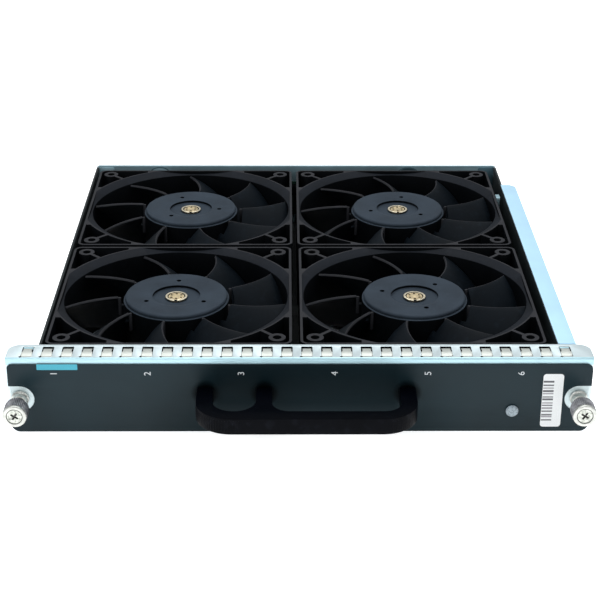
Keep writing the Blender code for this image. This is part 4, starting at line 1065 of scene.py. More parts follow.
def model_front_panel(sizes, fingers):
    """The folded panel: an upright face whose top is drawn back into a flange with windows."""
    half, front, back = PANEL_HIGH.x, PANEL_LOW.y, PANEL_LOW.y + sizes.sheet
    top, under = PANEL_HIGH.z, PANEL_HIGH.z - sizes.sheet
    panel = block("front_panel_skin", (-half, front, 0), (half, back, top))
    for level in (under, FACE_HIGH.z - 0.001):
        pick(panel, "FACE", every)
        bpy.ops.mesh.bisect(plane_co=(0, 0, level), plane_no=(0, 0, 1))
        let_go()
    pick(panel, "FACE", lambda middle, normal: normal.y > 0.9 and middle.z > under)
    press("y", PANEL_HIGH.y - back)
    round_edges(panel, sizes.fold, 8, edges("x", y=front, z=top))
    round_edges(panel, sizes.fold - sizes.sheet, 4, edges("x", y=back, z=under))
    round_edges(panel, sizes.ear_corner, 10, edges("y", z=0))
    for side in SIDES.values():
        round_edges(panel, sizes.flange_corner, 8, edges("z", x=side * half, y=PANEL_HIGH.y))
    first, *_, last = finger_middles(fingers)
    reach = fingers.window / 2
    floor, ceiling = top - 0.002, top + PAST
    window = block("window", (first - reach, fingers.front, floor), (first + reach, fingers.back, ceiling))
    round_edges(window, 0.0004, 2, edges("z"))
    relief = drum("relief", fingers.relief, floor, ceiling, 12, centre=(first - reach, fingers.front))
    carve(window, relief, operation="UNION")
    cutters = [repeated(window, fingers.count, (fingers.pitch, 0, 0))]
    holes = (("ferrule_left", sizes.ferrule_hole, 36), ("ferrule_right", sizes.ferrule_hole, 36),
             ("status_lens", sizes.lens_hole, 32))
    for node, radius, facets in holes:
        axis = middle_of(node)
        cutters.append(drum("hole", radius, front - PAST, back + PAST, facets, "Y", (axis.x, axis.z)))
    carve(panel, *cutters)
    soften(panel, sizes.edge, 2, 50)
    paint(panel, "zinc")
    # Painted shade: the fold's faces that turn to the front take the darker shaded zinc
    repaint(panel, "fold_zinc", lambda middle, normal: middle.y < front + sizes.fold
            and normal.y < -0.15 and middle.z > FACE_HIGH.z - 0.001)
    # Painted shade: the upright cut faces inside the windows are painted near black
    span = (last - first) / 2 + reach + 0.001
    centre = (STRIP_LOW.x + STRIP_HIGH.x) / 2
    return repaint(panel, "raw_edge", lambda middle, normal: abs(normal.z) < 0.3 and middle.z > under
                   and abs(middle.x - centre) < span
                   and fingers.front - 0.001 < middle.y < fingers.back + HAIR)


def model_finger_strip(sheet, sizes):
    """Arched spring fingers, drawn as one and repeated, with their rail and what closes the end windows; the
    rail and the backing behind the end windows are painted shade.
    """
    first, *_, last = finger_middles(sizes)
    root, tip = sizes.front + sizes.root_gap, sizes.back - sizes.tip_gap
    rail_top = STRIP_LOW.z + 0.0004
    rise = PANEL_HIGH.z + sizes.rise - rail_top
    rows = 14
    let_go()
    bpy.ops.mesh.primitive_grid_add(x_subdivisions=4, y_subdivisions=rows, size=1,
                                    location=(first, (root + tip) / 2, rail_top))
    finger = settle("finger_strip_skin", (sizes.width, tip - root, 1))
    for row in range(rows + 1):
        level = root + (tip - root) * row / rows
        arch = math.sin(math.pi * min(1.0, 0.02 + row / rows * 0.88)) ** 0.45
        pick(finger, "VERT", lambda corner: abs(corner.y - level) < HAIR)
        bpy.ops.transform.translate(value=(0, 0, rise * arch))
        narrow = sizes.taper if row > rows * 0.45 else 1.0
        bpy.ops.transform.resize(value=(narrow, 1, 1), center_override=(first, 0, 0))
        let_go()
    modified(finger, "SOLIDIFY", thickness=sizes.sheet, offset=-1)
    soften(finger, 0.00009, 2)
    paint(finger, "spring_steel")
    # Painted shade: the fingers' roots and upright sides, as a dark line at each window's front and sides
    repaint(finger, "raw_edge", lambda middle, normal: middle.y < root + 0.0006 or abs(normal.z) < 0.3)
    repeated(finger, sizes.count, (sizes.pitch, 0, 0))
    under = PANEL_HIGH.z - sheet.sheet - BARE
    reach = sizes.window / 2 - 0.0003
    # The rail and the blocks behind the end windows are painted shade; the stops in the end windows take the
    # shaded zinc
    flat = [("raw_edge", (STRIP_LOW.x, STRIP_LOW.y, rail_top - 0.0004),
             (STRIP_HIGH.x, STRIP_LOW.y + 0.0013, rail_top))]
    for x in (first, last):
        flat.append(("raw_edge", (x - 0.0036, sizes.back + 0.0003, under - 0.0050),
                     (x + 0.0036, sizes.back + 0.0009, under)))
        flat.append(("fold_zinc", (x - reach, tip + 0.0001, PANEL_HIGH.z - 0.0010),
                     (x + reach, sizes.back - 0.0001, PANEL_HIGH.z - 0.00008)))
    parts = [paint(soften(block("flat", low, high), 0.0001), name) for name, low, high in flat]
    return joined("finger_strip_skin", finger, *parts)


# The face


def model_face_plate(sizes, lens_hole):
    """The slate plate on the panel, notched at both ends."""
    left, right, top = FACE_LOW.x + sizes.inset, FACE_HIGH.x + sizes.inset, FACE_HIGH.z - sizes.inset
    plate = block("face_plate", (left, FACE_LOW.y, sizes.bottom), (right, FACE_HIGH.y, top))
    round_edges(plate, sizes.lower_corner, 10, edges("y", z=sizes.bottom))
    for radius, edge in ((sizes.left_corner, left), (sizes.right_corner, right)):
        round_edges(plate, radius, 8, edges("y", x=edge, z=top))
    near, far = FACE_LOW.y - PAST, FACE_HIGH.y + PAST
    cutters = []
    for side, sign in SIDES.items():
        axis = middle_of(f"ferrule_{side}")
        notch = drum("notch", sizes.notch, near, far, 64, "Y", (axis.x, axis.z))
        inward, outward = sorted((axis.x, axis.x + sign * 0.02))
        run_out = block("run_out", (inward, near, axis.z - sizes.notch), (outward, far, axis.z + sizes.notch))
        cutters.append(carve(notch, run_out, operation="UNION"))
    lens = middle_of("status_lens")
    cutters.append(drum("lens_hole", lens_hole, near, far, 32, "Y", (lens.x, lens.z)))
    carve(plate, *cutters)
    return soften(plate, sizes.edge, 3, 50)


def film_block(name, left, right, bottom, top, sizes, layer=0):
    """A thin flat piece lying on the face plate."""
    back = FACE_FRONT - layer * sizes.film
    return block(name, (left, back - sizes.film, bottom), (right, back, top))


def model_digit(text, x, sizes):
    """One printed number, turned to read upwards, as a thin solid on the face."""
    let_go()
    bpy.ops.object.text_add(location=(0, 0, 0))
    digit = bpy.context.object
    digit.data.body = text
    digit.data.align_x = "CENTER"
    digit.data.align_y = "CENTER"
    digit.data.extrude = 0.01
    bpy.ops.object.convert(target="MESH")
    digit = settle("face_number")
    corners = [corner.co for corner in digit.data.vertices]
    left, low, _ = map(min, zip(*corners))
    right, high, _ = map(max, zip(*corners))
    scale = sizes.digit_height / (high - low)
    standing = Matrix.Rotation(QUARTER_TURN, 4, "X") @ Matrix.Rotation(QUARTER_TURN, 4, "Z")
    shifted(digit, Matrix.Translation((-(left + right) / 2, -(low + high) / 2, 0)),
            Matrix.Diagonal((scale, scale, sizes.film / 0.02, 1)),
            Matrix.Translation((x, FACE_FRONT - sizes.film / 2, sizes.digit_level)) @ standing)
    pick(digit, "FACE", every)
    face_out()
    return paint(digit, "number_grey")


def model_face_marks(sizes):
    """Numbers 1 to 6, the plain cyan label and the sticker with plain bars."""
    pieces = [model_digit(str(step + 1), sizes.first_digit + step * sizes.digit_pitch, sizes)
              for step in range(6)]
    label = film_block("label", sizes.label_left, sizes.label_right, sizes.label_bottom,
                       FACE_HIGH.z - 0.0001, sizes)
    round_edges(label, 0.0002, 2, edges("y"))
    sticker = film_block("sticker", sizes.sticker_left, sizes.sticker_right, sizes.sticker_bottom,
                         sizes.sticker_top, sizes)
    round_edges(sticker, sizes.sticker_corner, 6, edges("y"))
    pieces += [paint(label, "label_cyan"), paint(sticker, "label_white")]
    middle = (sizes.sticker_left + sizes.sticker_right) / 2
    left, right = sizes.sticker_left + 0.0002, middle + 0.0004
    low, high = sizes.sticker_bottom + 0.0034, sizes.sticker_top - 0.0032
    pitch = (high - low) / sizes.bar_count
    for step in range(sizes.bar_count):
        bottom = low + (step + (0.0, 0.12, -0.10, 0.05)[step % 4]) * pitch
        thick = pitch * (0.42, 0.62, 0.36)[step % 3]
        bar = film_block("bar", left, right, bottom, bottom + thick, sizes, 1)
        pieces.append(paint(bar, "ink" if step % 5 in (0, 2, 3) else "pale_ink"))
    return joined("face_marks", *pieces)


def model_status_light():
    """The round light guide: a domed and faceted head on a stem."""
    head, stem = 0.00305, 0.0023
    neck = FACE_FRONT - 0.0003
    dome = [(0, 0), (0.0009, 0.00004), (0.0017, 0.00016), (0.0024, 0.00036), (0.0028, 0.0006),
            (head, 0.00085)]
    profile = [(radius, LENS_LOW.y + depth) for radius, depth in dome]
    profile += [(head, neck), (stem, neck), (stem, LENS_HIGH.y), (0, LENS_HIGH.y)]
    where = middle_of("status_lens")
    return turned("status_light", profile, 40, "Y", (where.x, 0, where.z))


# The pull


def model_handle(sizes):
    """The moulded pull: a block with round ends, loops cut through it, soft edges and grip ribs."""
    low, high = HANDLE_LOW, HANDLE_HIGH
    seat = FACE_FRONT - 0.0003
    pull = block("pull_handle", low, (high.x, seat, high.z))
    round_edges(pull, sizes.left_end, 18, edges("z", x=low.x, y=low.y))
    round_edges(pull, sizes.right_end, 16, edges("z", x=high.x, y=low.y))
    inner = low.y + sizes.bar
    left, right = low.x + sizes.post, high.x - sizes.post
    middle_left, middle_right = sizes.middle_post - sizes.post / 2, sizes.middle_post + sizes.post / 2
    finger_fillet = (middle_left - left) / 2 - HAIR
    loops = []
    for start, end, fillet, segments in ((left, middle_left, finger_fillet, 12),
                                         (middle_right, right, sizes.fillet, 10)):
        loop = block("loop", (start, inner, low.z - 0.002), (end, seat + 0.03, high.z + 0.002))
        for x in (start, end):
            round_edges(loop, fillet, segments, edges("z", x=x, y=inner))
        loops.append(loop)
    carve(pull, *loops)
    soften(pull, sizes.edge, 5, 40)
    paint(pull, "gloss_black")
    # Painted light: the front faces of the pull are painted paler than its top
    repaint(pull, "grip_black", lambda middle, normal: middle.y < low.y + sizes.left_end
            and normal.y < -0.35 and abs(normal.z) < 0.5)
    # Ribs run round the left end and on along the bar, and round part of the right end.
    places = []
    for step in range(sizes.rib_count):
        progress = step / (sizes.rib_count - 1) * 1.16
        turn = math.radians(186 + 84 * min(1.0, progress))
        reach = sizes.left_end - sizes.rib * 0.55
        along = max(0.0, progress - 1) * sizes.left_end * 1.3
        places.append((low.x + sizes.left_end + reach * math.cos(turn) + along,
                       low.y + sizes.left_end + reach * math.sin(turn)))
    reach = sizes.right_end - sizes.rib * 0.7
    places += rounded((high.x - sizes.right_end, low.y + sizes.right_end), reach, 285, 335, 6)
    ribs = []
    for place in places:
        rib = drum("rib", sizes.rib, low.z + sizes.edge, high.z - sizes.edge, 8, centre=place)
        paint(soften(rib, sizes.rib * 0.3), "grip_black")
        # Painted highlight on the tops of the ribs
        ribs.append(repaint(rib, "fan_edge", lambda middle, normal: normal.z > 0.3))
    return joined("pull_handle", pull, *ribs)


# Thumbscrews and other fasteners


def cross_cutter(sizes, scale=1.0):
    """A cross recess that narrows with depth, open at its front along Y."""
    slot = block("slot", (-sizes.recess * scale, -PAST, -sizes.recess_width * scale / 2),
                 (sizes.recess * scale, sizes.recess_depth * scale, sizes.recess_width * scale / 2))
    resize_side(slot, "y", (0.45, 1, 0.6))
    return carve(slot, copied(slot, "slot_across", turn=QUARTER_TURN, axis="Y"), operation="UNION")


def model_thumbscrew(side, sizes):
    """A captive screw: a knob with grip teeth, a bright dished face and a cross recess, on a long shank."""
    low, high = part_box(f"thumbscrew_{side}")
    axis = (low + high) / 2
    centre = Vector((axis.x, 0, axis.z))
    front, back = low.y, low.y + sizes.knob_length
    body, shank, start = sizes.knob, sizes.shank, high.y - 0.0064
    knob = drum("knob", body, front + 0.0016, back - 0.0008, sizes.teeth * 2, "Y", (axis.x, axis.z))

    def every_other(corner):
        """Whether a corner of the knob lies between two teeth."""
        turn = math.atan2(corner.z - centre.z, corner.x - centre.x) / ROUND_TURN * sizes.teeth * 2
        return round(turn) % 2 == 1

    def within(middle, radius):
        """Whether a place lies within a radius of the screw's axis."""
        return math.hypot(middle.x - axis.x, middle.z - axis.z) < radius

    pick(knob, "VERT", every_other)
    inward = 1 - sizes.tooth / body
    bpy.ops.transform.resize(value=(inward, 1, inward), center_override=centre)
    let_go()
    nose = [(0, front + 0.0003), (body - 0.0022, front + 0.0003), (body - 0.0017, front + 0.00005),
            (body - 0.0013, front), (body - 0.0009, front)]
    nose += rounded((body - 0.0009, front + 0.0007), 0.0007, 270, 345, 5)
    nose += [(body - 0.0003, front + 0.0017), (0, front + 0.0017)]
    cap = turned("cap", nose, 64, "Y", centre)
    near, far = body - 0.00225, body - 0.0019
    groove = turned("groove", [(near, front - PAST), (far, front - PAST), (far, front + 0.0008),
                               (near, front + 0.0008), (near, front - PAST)], 64, "Y", centre)
    cross = shifted(cross_cutter(sizes), Matrix.Rotation(sizes.recess_turn, 4, "Y"),
                    Matrix.Translation((axis.x, front + 0.0003, axis.z)))
    carve(cap, cross, groove)
    collar = turned("collar", [(0, back - 0.0010), (body - 0.0005, back - 0.0010),
                               (body - 0.0005, back - 0.0003), (body - 0.0008, back), (shank, back),
                               (shank, start + 0.0002), (0, start + 0.0002)], 48, "Y", centre)
    tip = turned("tip", [(0, start)] + thread(shank, 0.00035, start, 0.0007, 9)
                 + [(shank - 0.0006, high.y), (0, high.y)], 32, "Y", centre)
    paint(knob, "dark_nickel")
    for part in (cap, collar, tip):
        paint(part, "nickel")
    repaint(cap, "knob_face", lambda middle, normal: normal.y < -0.5 and middle.y > front + 0.0002
            and within(middle, body - 0.0016))
    # Painted shade: the faces of the groove and cross recess are painted darker
    repaint(cap, "cut_line", lambda middle, normal: front + 0.0004 < middle.y < front + 0.0016
            and within(middle, body - 0.0010))
    return joined(f"thumbscrew_{side}_skin", cap, knob, collar, tip)


def model_ferrule(side):
    """The sleeve that carries a thumbscrew, with a flared foot on the panel."""
    low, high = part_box(f"ferrule_{side}")
    axis = (low + high) / 2
    bore, barrel, foot = 0.0023, 0.0034, 0.0042
    seat = PANEL_LOW.y - 0.0003
    profile = [(bore, low.y + 0.0003), (bore + 0.0003, low.y), (barrel - 0.0003, low.y),
               (barrel, low.y + 0.0003), (barrel, seat - 0.0020)]
    profile += [(barrel + (foot - barrel) * part ** 2, seat - 0.0020 + 0.0014 * part)
                for part in (0.2, 0.4, 0.6, 0.8, 1.0)]
    profile += [(foot, seat - 0.0001), (foot - 0.0001, seat), (barrel, seat), (barrel, high.y),
                (bore, high.y), (bore, low.y + 0.0003)]
    return turned(f"ferrule_{side}_skin", profile, 56, "Y", (axis.x, 0, axis.z))


def model_clip(side):
    """The open spring clip that keeps a thumbscrew in its ferrule."""
    low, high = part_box(f"retaining_clip_{side}")
    axis = (low + high) / 2
    outer, inner = (high.x - low.x) / 2, 0.0023
    ring = [(inner, low.y), (outer, low.y), (outer, high.y), (inner, high.y), (inner, low.y)]
    clip = turned(f"clip_{side}_skin", ring, 48, "Y", (axis.x, 0, axis.z))
    carve(clip, block("mouth", (axis.x - 0.0012, low.y - PAST, axis.z - 0.006),
                      (axis.x + 0.0012, high.y + PAST, axis.z)))
    return soften(clip, 0.0001, 2)


def model_fan_screw(sizes):
    """A countersunk screw with its head down and a cross recess in it, at the origin."""
    low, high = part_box("front_left_screw_1")
    lift, end = low.z, high.z
    head, shank = sizes.fan_head, sizes.fan_screw
    turns = 12
    profile = [(0, lift), (head - 0.0002, lift), (head, lift + 0.0002), (shank, lift + 0.0012)]
    profile += thread(shank, 0.0003, lift + 0.0014, (end - lift - 0.0022) / turns, turns)
    profile += [(shank - 0.0005, end), (0, end)]
    cross = shifted(cross_cutter(sizes, 0.7), Matrix.Rotation(QUARTER_TURN, 4, "X"),
                    Matrix.Translation((0, 0, lift)))
    return carve(turned("fan_screw", profile, 24), cross)


# Fans


def model_corner_pocket(sizes):
    """The waste of one open corner: a block less the duct's wall, the screw boss and its rib."""
    inner = FAN_HALF - sizes.wall
    floor, top = sizes.pocket_floor, FAN_DEPTH + 0.002
    boss = FAN_HALF - sizes.hole_inset
    pocket = block("pocket", (0.030, 0.030, floor), (inner, inner, top))
    round_edges(pocket, sizes.corner - sizes.wall, 5, edges("z", x=inner, y=inner))
    low, high = floor - PAST, top + PAST
    ring = drum("ring", sizes.bore + sizes.flare + sizes.ring, low, high, 128)
    post = drum("post", sizes.boss, low, high, 40, centre=(boss, boss))
    rib = block("rib", (0.050, -sizes.rib / 2, low), (boss * math.sqrt(2), sizes.rib / 2, high))
    turned_rib = copied(rib, "rib_turned", turn=math.radians(45))
    discard(rib)
    return carve(pocket, ring, post, turned_rib)


def model_fan_frame(sizes):
    """A fan's housing, centred on its axis with its foot at the origin."""
    housing = block("fan_frame", (-FAN_HALF, -FAN_HALF, 0), (FAN_HALF, FAN_HALF, FAN_DEPTH))
    round_edges(housing, sizes.corner, 8, edges("z"))
    bore, depth, mouth = sizes.bore, sizes.flare_depth, sizes.bore + sizes.flare
    profile = [(0, -0.002), (bore, -0.002), (bore, FAN_DEPTH - depth), (mouth, FAN_DEPTH),
               (mouth + 0.002 * (sizes.flare / depth), FAN_DEPTH + 0.002), (0, FAN_DEPTH + 0.002)]
    duct = turned("duct", profile, 128)
    inner = FAN_HALF - sizes.wall
    walls = block("walls", (-inner, -inner, -0.01), (inner, inner, FAN_DEPTH + 0.01))
    pocket = model_corner_pocket(sizes)
    pockets = [copied(pocket, f"pocket_{quarter}", turn=math.radians(90 * quarter)) for quarter in (1, 2, 3)]
    boss = FAN_HALF - sizes.hole_inset
    holes = [drum("hole", sizes.hole, -PAST, FAN_DEPTH + PAST, 28, centre=(across * boss, along * boss))
             for across, along in CORNERS]
    carve(housing, carve(duct, walls, operation="INTERSECT"), *pockets, pocket, *holes)
    soften(housing, sizes.edge, 2, 38)
    paint(housing, "fan_black")
    # Painted light: the sloped mouth of the duct is painted paler than the rest of the frame
    repaint(housing, "duct_black", lambda middle, normal: FAN_DEPTH - depth < middle.z
            and 0.2 < normal.z < 0.9 and from_axis(middle) < mouth + sizes.ring / 2)
    # Painted highlight on the frame's upward faces along its top edges
    repaint(housing, "fan_edge", lambda middle, normal: normal.z > 0.4
            and middle.z > FAN_DEPTH - sizes.edge * 0.7)
    return joined("fan_frame", housing, *model_motor_base(sizes))


def model_motor_base(sizes):
    """The motor base with its bearing tube, and the four struts that hold it in the duct."""
    thick, tube, base = sizes.base_thickness, sizes.tube, sizes.base
    inside = tube - sizes.tube_wall
    profile = [(0, 0.0006), (0.0105, 0.0006), (0.0110, 0.0), (base - 0.0006, 0.0), (base, 0.0006),
               (base, thick - 0.0006), (base - 0.0006, thick), (tube + 0.0012, thick), (tube, thick + 0.0012),
               (tube, sizes.tube_top - 0.0003), (tube - 0.0003, sizes.tube_top), (inside, sizes.tube_top),
               (inside, thick), (0, thick)]
    parts = [paint(turned("base", profile, 96), "fan_black")]
    strut = block("strut", (base - 0.002, -sizes.strut / 2, 0),
                  (sizes.bore + 0.001, sizes.strut / 2, sizes.strut))
    resize_side(strut, "z", (1, 0.55, 1))
    soften(strut, 0.0007, 3, 30)
    paint(strut, "fan_black")
    parts += [copied(strut, f"strut_{quarter}", turn=math.radians(45 + 90 * quarter)) for quarter in range(4)]
    discard(strut)
    return parts


def model_blade(sizes):
    """One blade, drawn from an upright grid: rows turn with the twist, columns with the sweep."""
    rows, columns = 12, 8
    rim, tip = sizes.rim, sizes.tip
    root = rim - sizes.wall / 2
    lead, trail = FAN_DEPTH - sizes.lead, sizes.trail
    let_go()
    bpy.ops.mesh.primitive_grid_add(x_subdivisions=columns, y_subdivisions=rows, size=1,
                                    location=((root + tip) / 2, 0, 0), rotation=(QUARTER_TURN, 0, 0))
    blade = settle("blade", (tip - root, 1, 1))
    # The foot of the leading edge stands clear of the hub.
    pick(blade, "FACE", lambda middle, normal: middle.x < root + (tip - root) / columns and middle.z > 0.20)
    bpy.ops.mesh.delete(type="FACE")
    let_go()
    thickness = blade.vertex_groups.new(name="thickness")
    for row in range(rows + 1):
        along = row / rows
        start = 0.5 - along
        members = [corner.index for corner in blade.data.vertices if abs(corner.co.z - start) < HAIR]
        fullness = 1.3 - along
        if along < 0.7:
            fullness = 0.74 + 0.26 * math.sin(math.pi * min(1.0, along * 1.3 + 0.1))
        thickness.add(members, min(1.0, max(0.25, fullness)), "REPLACE")
    for row in range(rows + 1):
        along = row / rows
        start = 0.5 - along
        fall = sizes.even_fall * along + (1 - sizes.even_fall) * along * along
        pick(blade, "VERT", lambda corner: abs(corner.z - start) < HAIR)
        bpy.ops.transform.translate(value=(0, 0, lead + (trail - lead) * fall - start))
        bpy.ops.transform.rotate(value=sizes.twist * along, orient_axis="Z", center_override=(0, 0, 0))
        let_go()
    for column in range(columns + 1):
        radius = root + (tip - root) * column / columns
        outward = max(0.0, (radius - rim) / (tip - rim))
        pick(blade, "VERT", lambda corner: abs(from_axis(corner) - radius) < HAIR)
        swept = -sizes.sweep * outward ** 1.5
        bpy.ops.transform.rotate(value=swept, orient_axis="Z", center_override=(0, 0, 0))
        lower = 1 - sizes.tip_drop * outward / (lead - trail)
        bpy.ops.transform.resize(value=(1, 1, lower), center_override=(0, 0, trail))
        let_go()
    modified(blade, "SOLIDIFY", thickness=sizes.thickness, offset=0, vertex_group="thickness",
             thickness_vertex_group=0.1, use_even_offset=True)
    pick(blade, "FACE", every)
    face_out(merge=False)
    soften(blade, 0.00028, 2, 50)
    paint(blade, "blade_black")

    def rim_face(middle, normal):
        """Whether a face lies on the thin rim of the leading edge."""
        radius = from_axis(middle)
        level = lead - sizes.tip_drop * max(0.0, (radius - rim) / (tip - rim))
        forward = (normal.y * middle.x - normal.x * middle.y) / radius
        return middle.z > level - 0.0008 and (forward > 0.3 and normal.z > 0.2 or middle.z > level + BARE)

    # Painted highlight on the leading edge's rim and on the whole rib at the blade's foot
    repaint(blade, "fan_edge", rim_face)
    foot = block("foot", (sizes.foot - 0.0016, -0.0006, lead - sizes.foot_depth),
                 (sizes.foot, 0.0006, lead - 0.0002))
    return joined("blade", blade, paint(soften(foot, 0.0003), "fan_edge"))


def model_impeller(sizes):
    """A hub cup with a stepped cap and nine swept blades, on the fan's own axis."""
    top, rim, bottom, recess, cap_edge = HUB_TOP, sizes.rim, sizes.bottom, sizes.recess, sizes.cap
    plate, step = top - sizes.plate, top - sizes.cap_depth
    floor, shelf = top - sizes.recess_depth, top - 0.0005
    joint = plate + 0.0002
    slope = recess + sizes.recess_slope
    bush, hole, seat, well = (BUSH_HIGH.x - BUSH_LOW.x) / 2 + 0.0003, 0.0046, 0.0270, 0.0080
    under = step + sizes.groove * 0.5
    cap = [(hole, joint), (hole, floor - 0.0004), (bush, floor - 0.0004), (bush, floor - 0.0001),
           (bush + 0.0001, floor), (recess - 0.0003, floor), (recess, floor + 0.0003),
           (recess, shelf - 0.0001), (recess + 0.0001, shelf), (slope, top - 0.00002), (slope + 0.0001, top)]
    cap += rounded((cap_edge - sizes.cap_round, top - sizes.cap_round), sizes.cap_round, 90, 0, 6)
    cap += [(cap_edge, under), (cap_edge - 0.0008, under), (cap_edge - 0.0008, joint), (hole, joint)]
    hub_cap = turned("hub_cap", cap, 128)
    carve(hub_cap, *(drum("balance_hole", sizes.balance_hole, top - 0.0022, top + PAST, 24, centre=place)
                     for place in ring_places(3, sizes.balance_circle, sizes.balance_turn)))
    paint(hub_cap, "hub_slate")
    # Painted shade: the upright walls of the cap's recess and holes are painted fan black
    repaint(hub_cap, "fan_black", lambda middle, normal: abs(normal.z) < 0.3
            and from_axis(middle) < sizes.balance_circle + 0.002)
    lip, wall = step - sizes.groove * 0.6, rim - sizes.wall
    cup = [(hole, seat), (hole, joint), (cap_edge - 0.0010, joint), (cap_edge - 0.0010, lip),
           (rim - 0.0004, lip)]
    cup += rounded((rim - 0.0004, lip - 0.0004), 0.0004, 90, 0, 4)
    cup += [(rim, bottom + 0.0003), (rim - 0.0003, bottom), (wall + 0.0003, bottom), (wall, bottom + 0.0003),
            (wall, plate - 0.0010), (wall - 0.0010, plate), (well + 0.0010, plate), (well, plate - 0.0010),
            (well, seat), (hole, seat)]
    hub_cup = paint(turned("hub_cup", cup, 128), "fan_black")
    # Painted highlight: the cup's upward shoulder round the cap is painted the paler hub slate
    repaint(hub_cup, "hub_slate", lambda middle, normal: middle.z > step - 0.0012 and normal.z > 0.3
            and from_axis(middle) > cap_edge - 0.0006)
    blade = model_blade(sizes)
    blades = [copied(blade, f"blade_{count}", turn=ROUND_TURN * count / sizes.blades)
              for count in range(1, sizes.blades)]
    return joined("impeller", hub_cap, hub_cup, blade, *blades)


def model_brass_bush():
    """The turned bush in the hub: a flat ring, a groove and a warmer middle with small holes."""
    low, top = BUSH_LOW.z - FRAME_LOW.z, HUB_TOP - 0.0009
    flange = (BUSH_HIGH.x - BUSH_LOW.x) / 2
    under = top - 0.0006
    profile = [(0, low), (0.0043, low), (0.0043, under), (flange - 0.0002, under), (flange, top - 0.0004)]
    profile += rounded((flange - 0.0002, top - 0.0002), 0.0002, 0, 90, 3)
    profile += [(0.0047, top), (0.0046, top - 0.0001), (0.0046, under), (0.0041, under),
                (0.0041, top - 0.0003), (0.0040, top - 0.0002), (0, top - 0.0002)]
    bush = turned("brass_bush", profile, 72)
    carve(bush, *(drum("small_hole", 0.00068, top - 0.0014, top + PAST, 16, centre=place)
                  for place in ring_places(6, 0.0029, math.radians(30))),
          block("notch", (-0.00071, -0.0071, top - 0.00047), (0.00069, -0.00443, top + PAST)))
    paint(bush, "brass")
    repaint(bush, "warm_brass", lambda middle, normal: from_axis(middle) < 0.0042)
    # Painted shade: the walls and floors of the groove, small holes and notch are painted near black
    return repaint(bush, "raw_edge", lambda middle, normal: top - 0.0015 < middle.z < top - 0.0003
                   and from_axis(middle) < flange - 0.0003)


# Rear electrics


def model_control_board():
    """The board on the rear wall with chips and a row of fan headers."""
    parts = [paint(soften(block("board", BOARD_LOW, BOARD_HIGH), 0.0001), "board_green")]
    front, foot, width = BOARD_LOW.y, BOARD_LOW.z + 0.005, BOARD_HIGH.x - BOARD_LOW.x
    for along, wide, tall in ((0.12, 0.009, 0.007), (0.30, 0.005, 0.005), (0.62, 0.012, 0.006),
                              (0.80, 0.006, 0.004)):
        x = BOARD_LOW.x + width * along
        parts.append(soften(block("chip", (x, front - 0.0012, foot), (x + wide, front, foot + tall)), 0.0002))
    for step in range(4):
        x = BOARD_LOW.x + width * (0.16 + 0.23 * step)
        header = block("header", (x - 0.005, front - 0.0035, BOARD_HIGH.z - 0.0075),
                       (x + 0.005, front, BOARD_HIGH.z - 0.0015))
        hollow(header, "z", 0.0006, 0.004)
        parts.append(soften(header, 0.00012))
    for part in parts[1:]:
        paint(part, "fan_black")
    return joined("control_board_skin", *parts)


def model_connector():
    """The blind-mate connector: a keyed housing with two rows of contacts in its mouth."""
    housing = block("housing", PLUG_LOW, PLUG_HIGH)
    hollow(housing, "y", 0.0014, 0.0065)
    round_edges(housing, 0.0011, 3, lambda middle, along: abs(middle.y - PLUG_HIGH.y) < HAIR and any(
        abs(middle[axis] - corner[axis]) < HAIR for axis in (0, 2) for corner in (PLUG_LOW, PLUG_HIGH)))
    parts = [paint(soften(housing, 0.0002), "gloss_black")]
    pitch, count = 0.0032, 9
    first = middle_of("rear_connector") - Vector((pitch * (count - 1) / 2, 0, 0))
    for level in (first.z - 0.0022, first.z + 0.0022):
        contact = block("contact", (first.x - 0.0005, PLUG_HIGH.y - 0.0066, level - 0.0005),
                        (first.x + 0.0005, PLUG_HIGH.y - 0.0016, level + 0.0005))
        resize_side(contact, "y", (0.4, 1, 0.4))
        parts.append(paint(repeated(contact, count, (pitch, 0, 0)), "brass"))
    return joined("rear_connector_skin", *parts)


# Stage


def model_stage(sizes):
    """A pale floor, soft lights and the camera at the photograph's angle."""
    scene = bpy.context.scene
    let_go()
    bpy.ops.mesh.primitive_plane_add(size=sizes.floor, location=(0, 0, FLOOR_LEVEL - 0.0003))
    floor = settle("studio_floor")
    paint(floor, "floor")
    world = bpy.data.worlds.new("studio")
    world.use_nodes = True
    sky = world.node_tree.nodes["Background"]
    sky.inputs["Color"].default_value = (0.94, 0.97, 1.0, 1.0)
    sky.inputs["Strength"].default_value = sizes.sky
    scene.world = world
    lights = {
        "overhead": ((0.0, 0.35, 1.25), (1.5, 1.1), 13.0, (1.0, 1.0, 1.0)),
        "front_left": ((-0.9, -1.1, 0.8), (0.7, 0.7), 4.4, (0.97, 0.99, 1.0)),
        "front_right": ((1.0, -0.9, 0.7), (0.7, 0.7), 1.6, (1.0, 0.99, 0.97)),
    }
    aim = Vector((0, 0.10, 0.02))
    for name, (where, (width, height), power, tint) in lights.items():
        let_go()
        bpy.ops.object.light_add(type="AREA", location=where)
        lamp = bpy.context.object
        lamp.name = name
        lamp.data.shape = "RECTANGLE"
        lamp.data.size, lamp.data.size_y = width, height
        lamp.data.energy = power
        lamp.data.color = tint
        lamp.rotation_euler = (aim - Vector(where)).to_track_quat("-Z", "Y").to_euler()
    bpy.ops.object.camera_add()
    camera = bpy.context.object
    camera.name = "camera"
    turn = Matrix.Rotation(-sizes.yaw, 4, "Z") @ Matrix.Rotation(QUARTER_TURN - sizes.pitch, 4, "X")
    camera.matrix_world = Matrix.Translation(sizes.camera) @ turn @ Matrix.Rotation(-sizes.roll, 4, "Z")
    camera.data.sensor_width = 36.0
    camera.data.lens = sizes.lens
    camera.data.clip_start = 0.01
    camera.data.clip_end = 50.0
    scene.camera = camera
    scene.view_settings.view_transform = "Standard"


# Operators


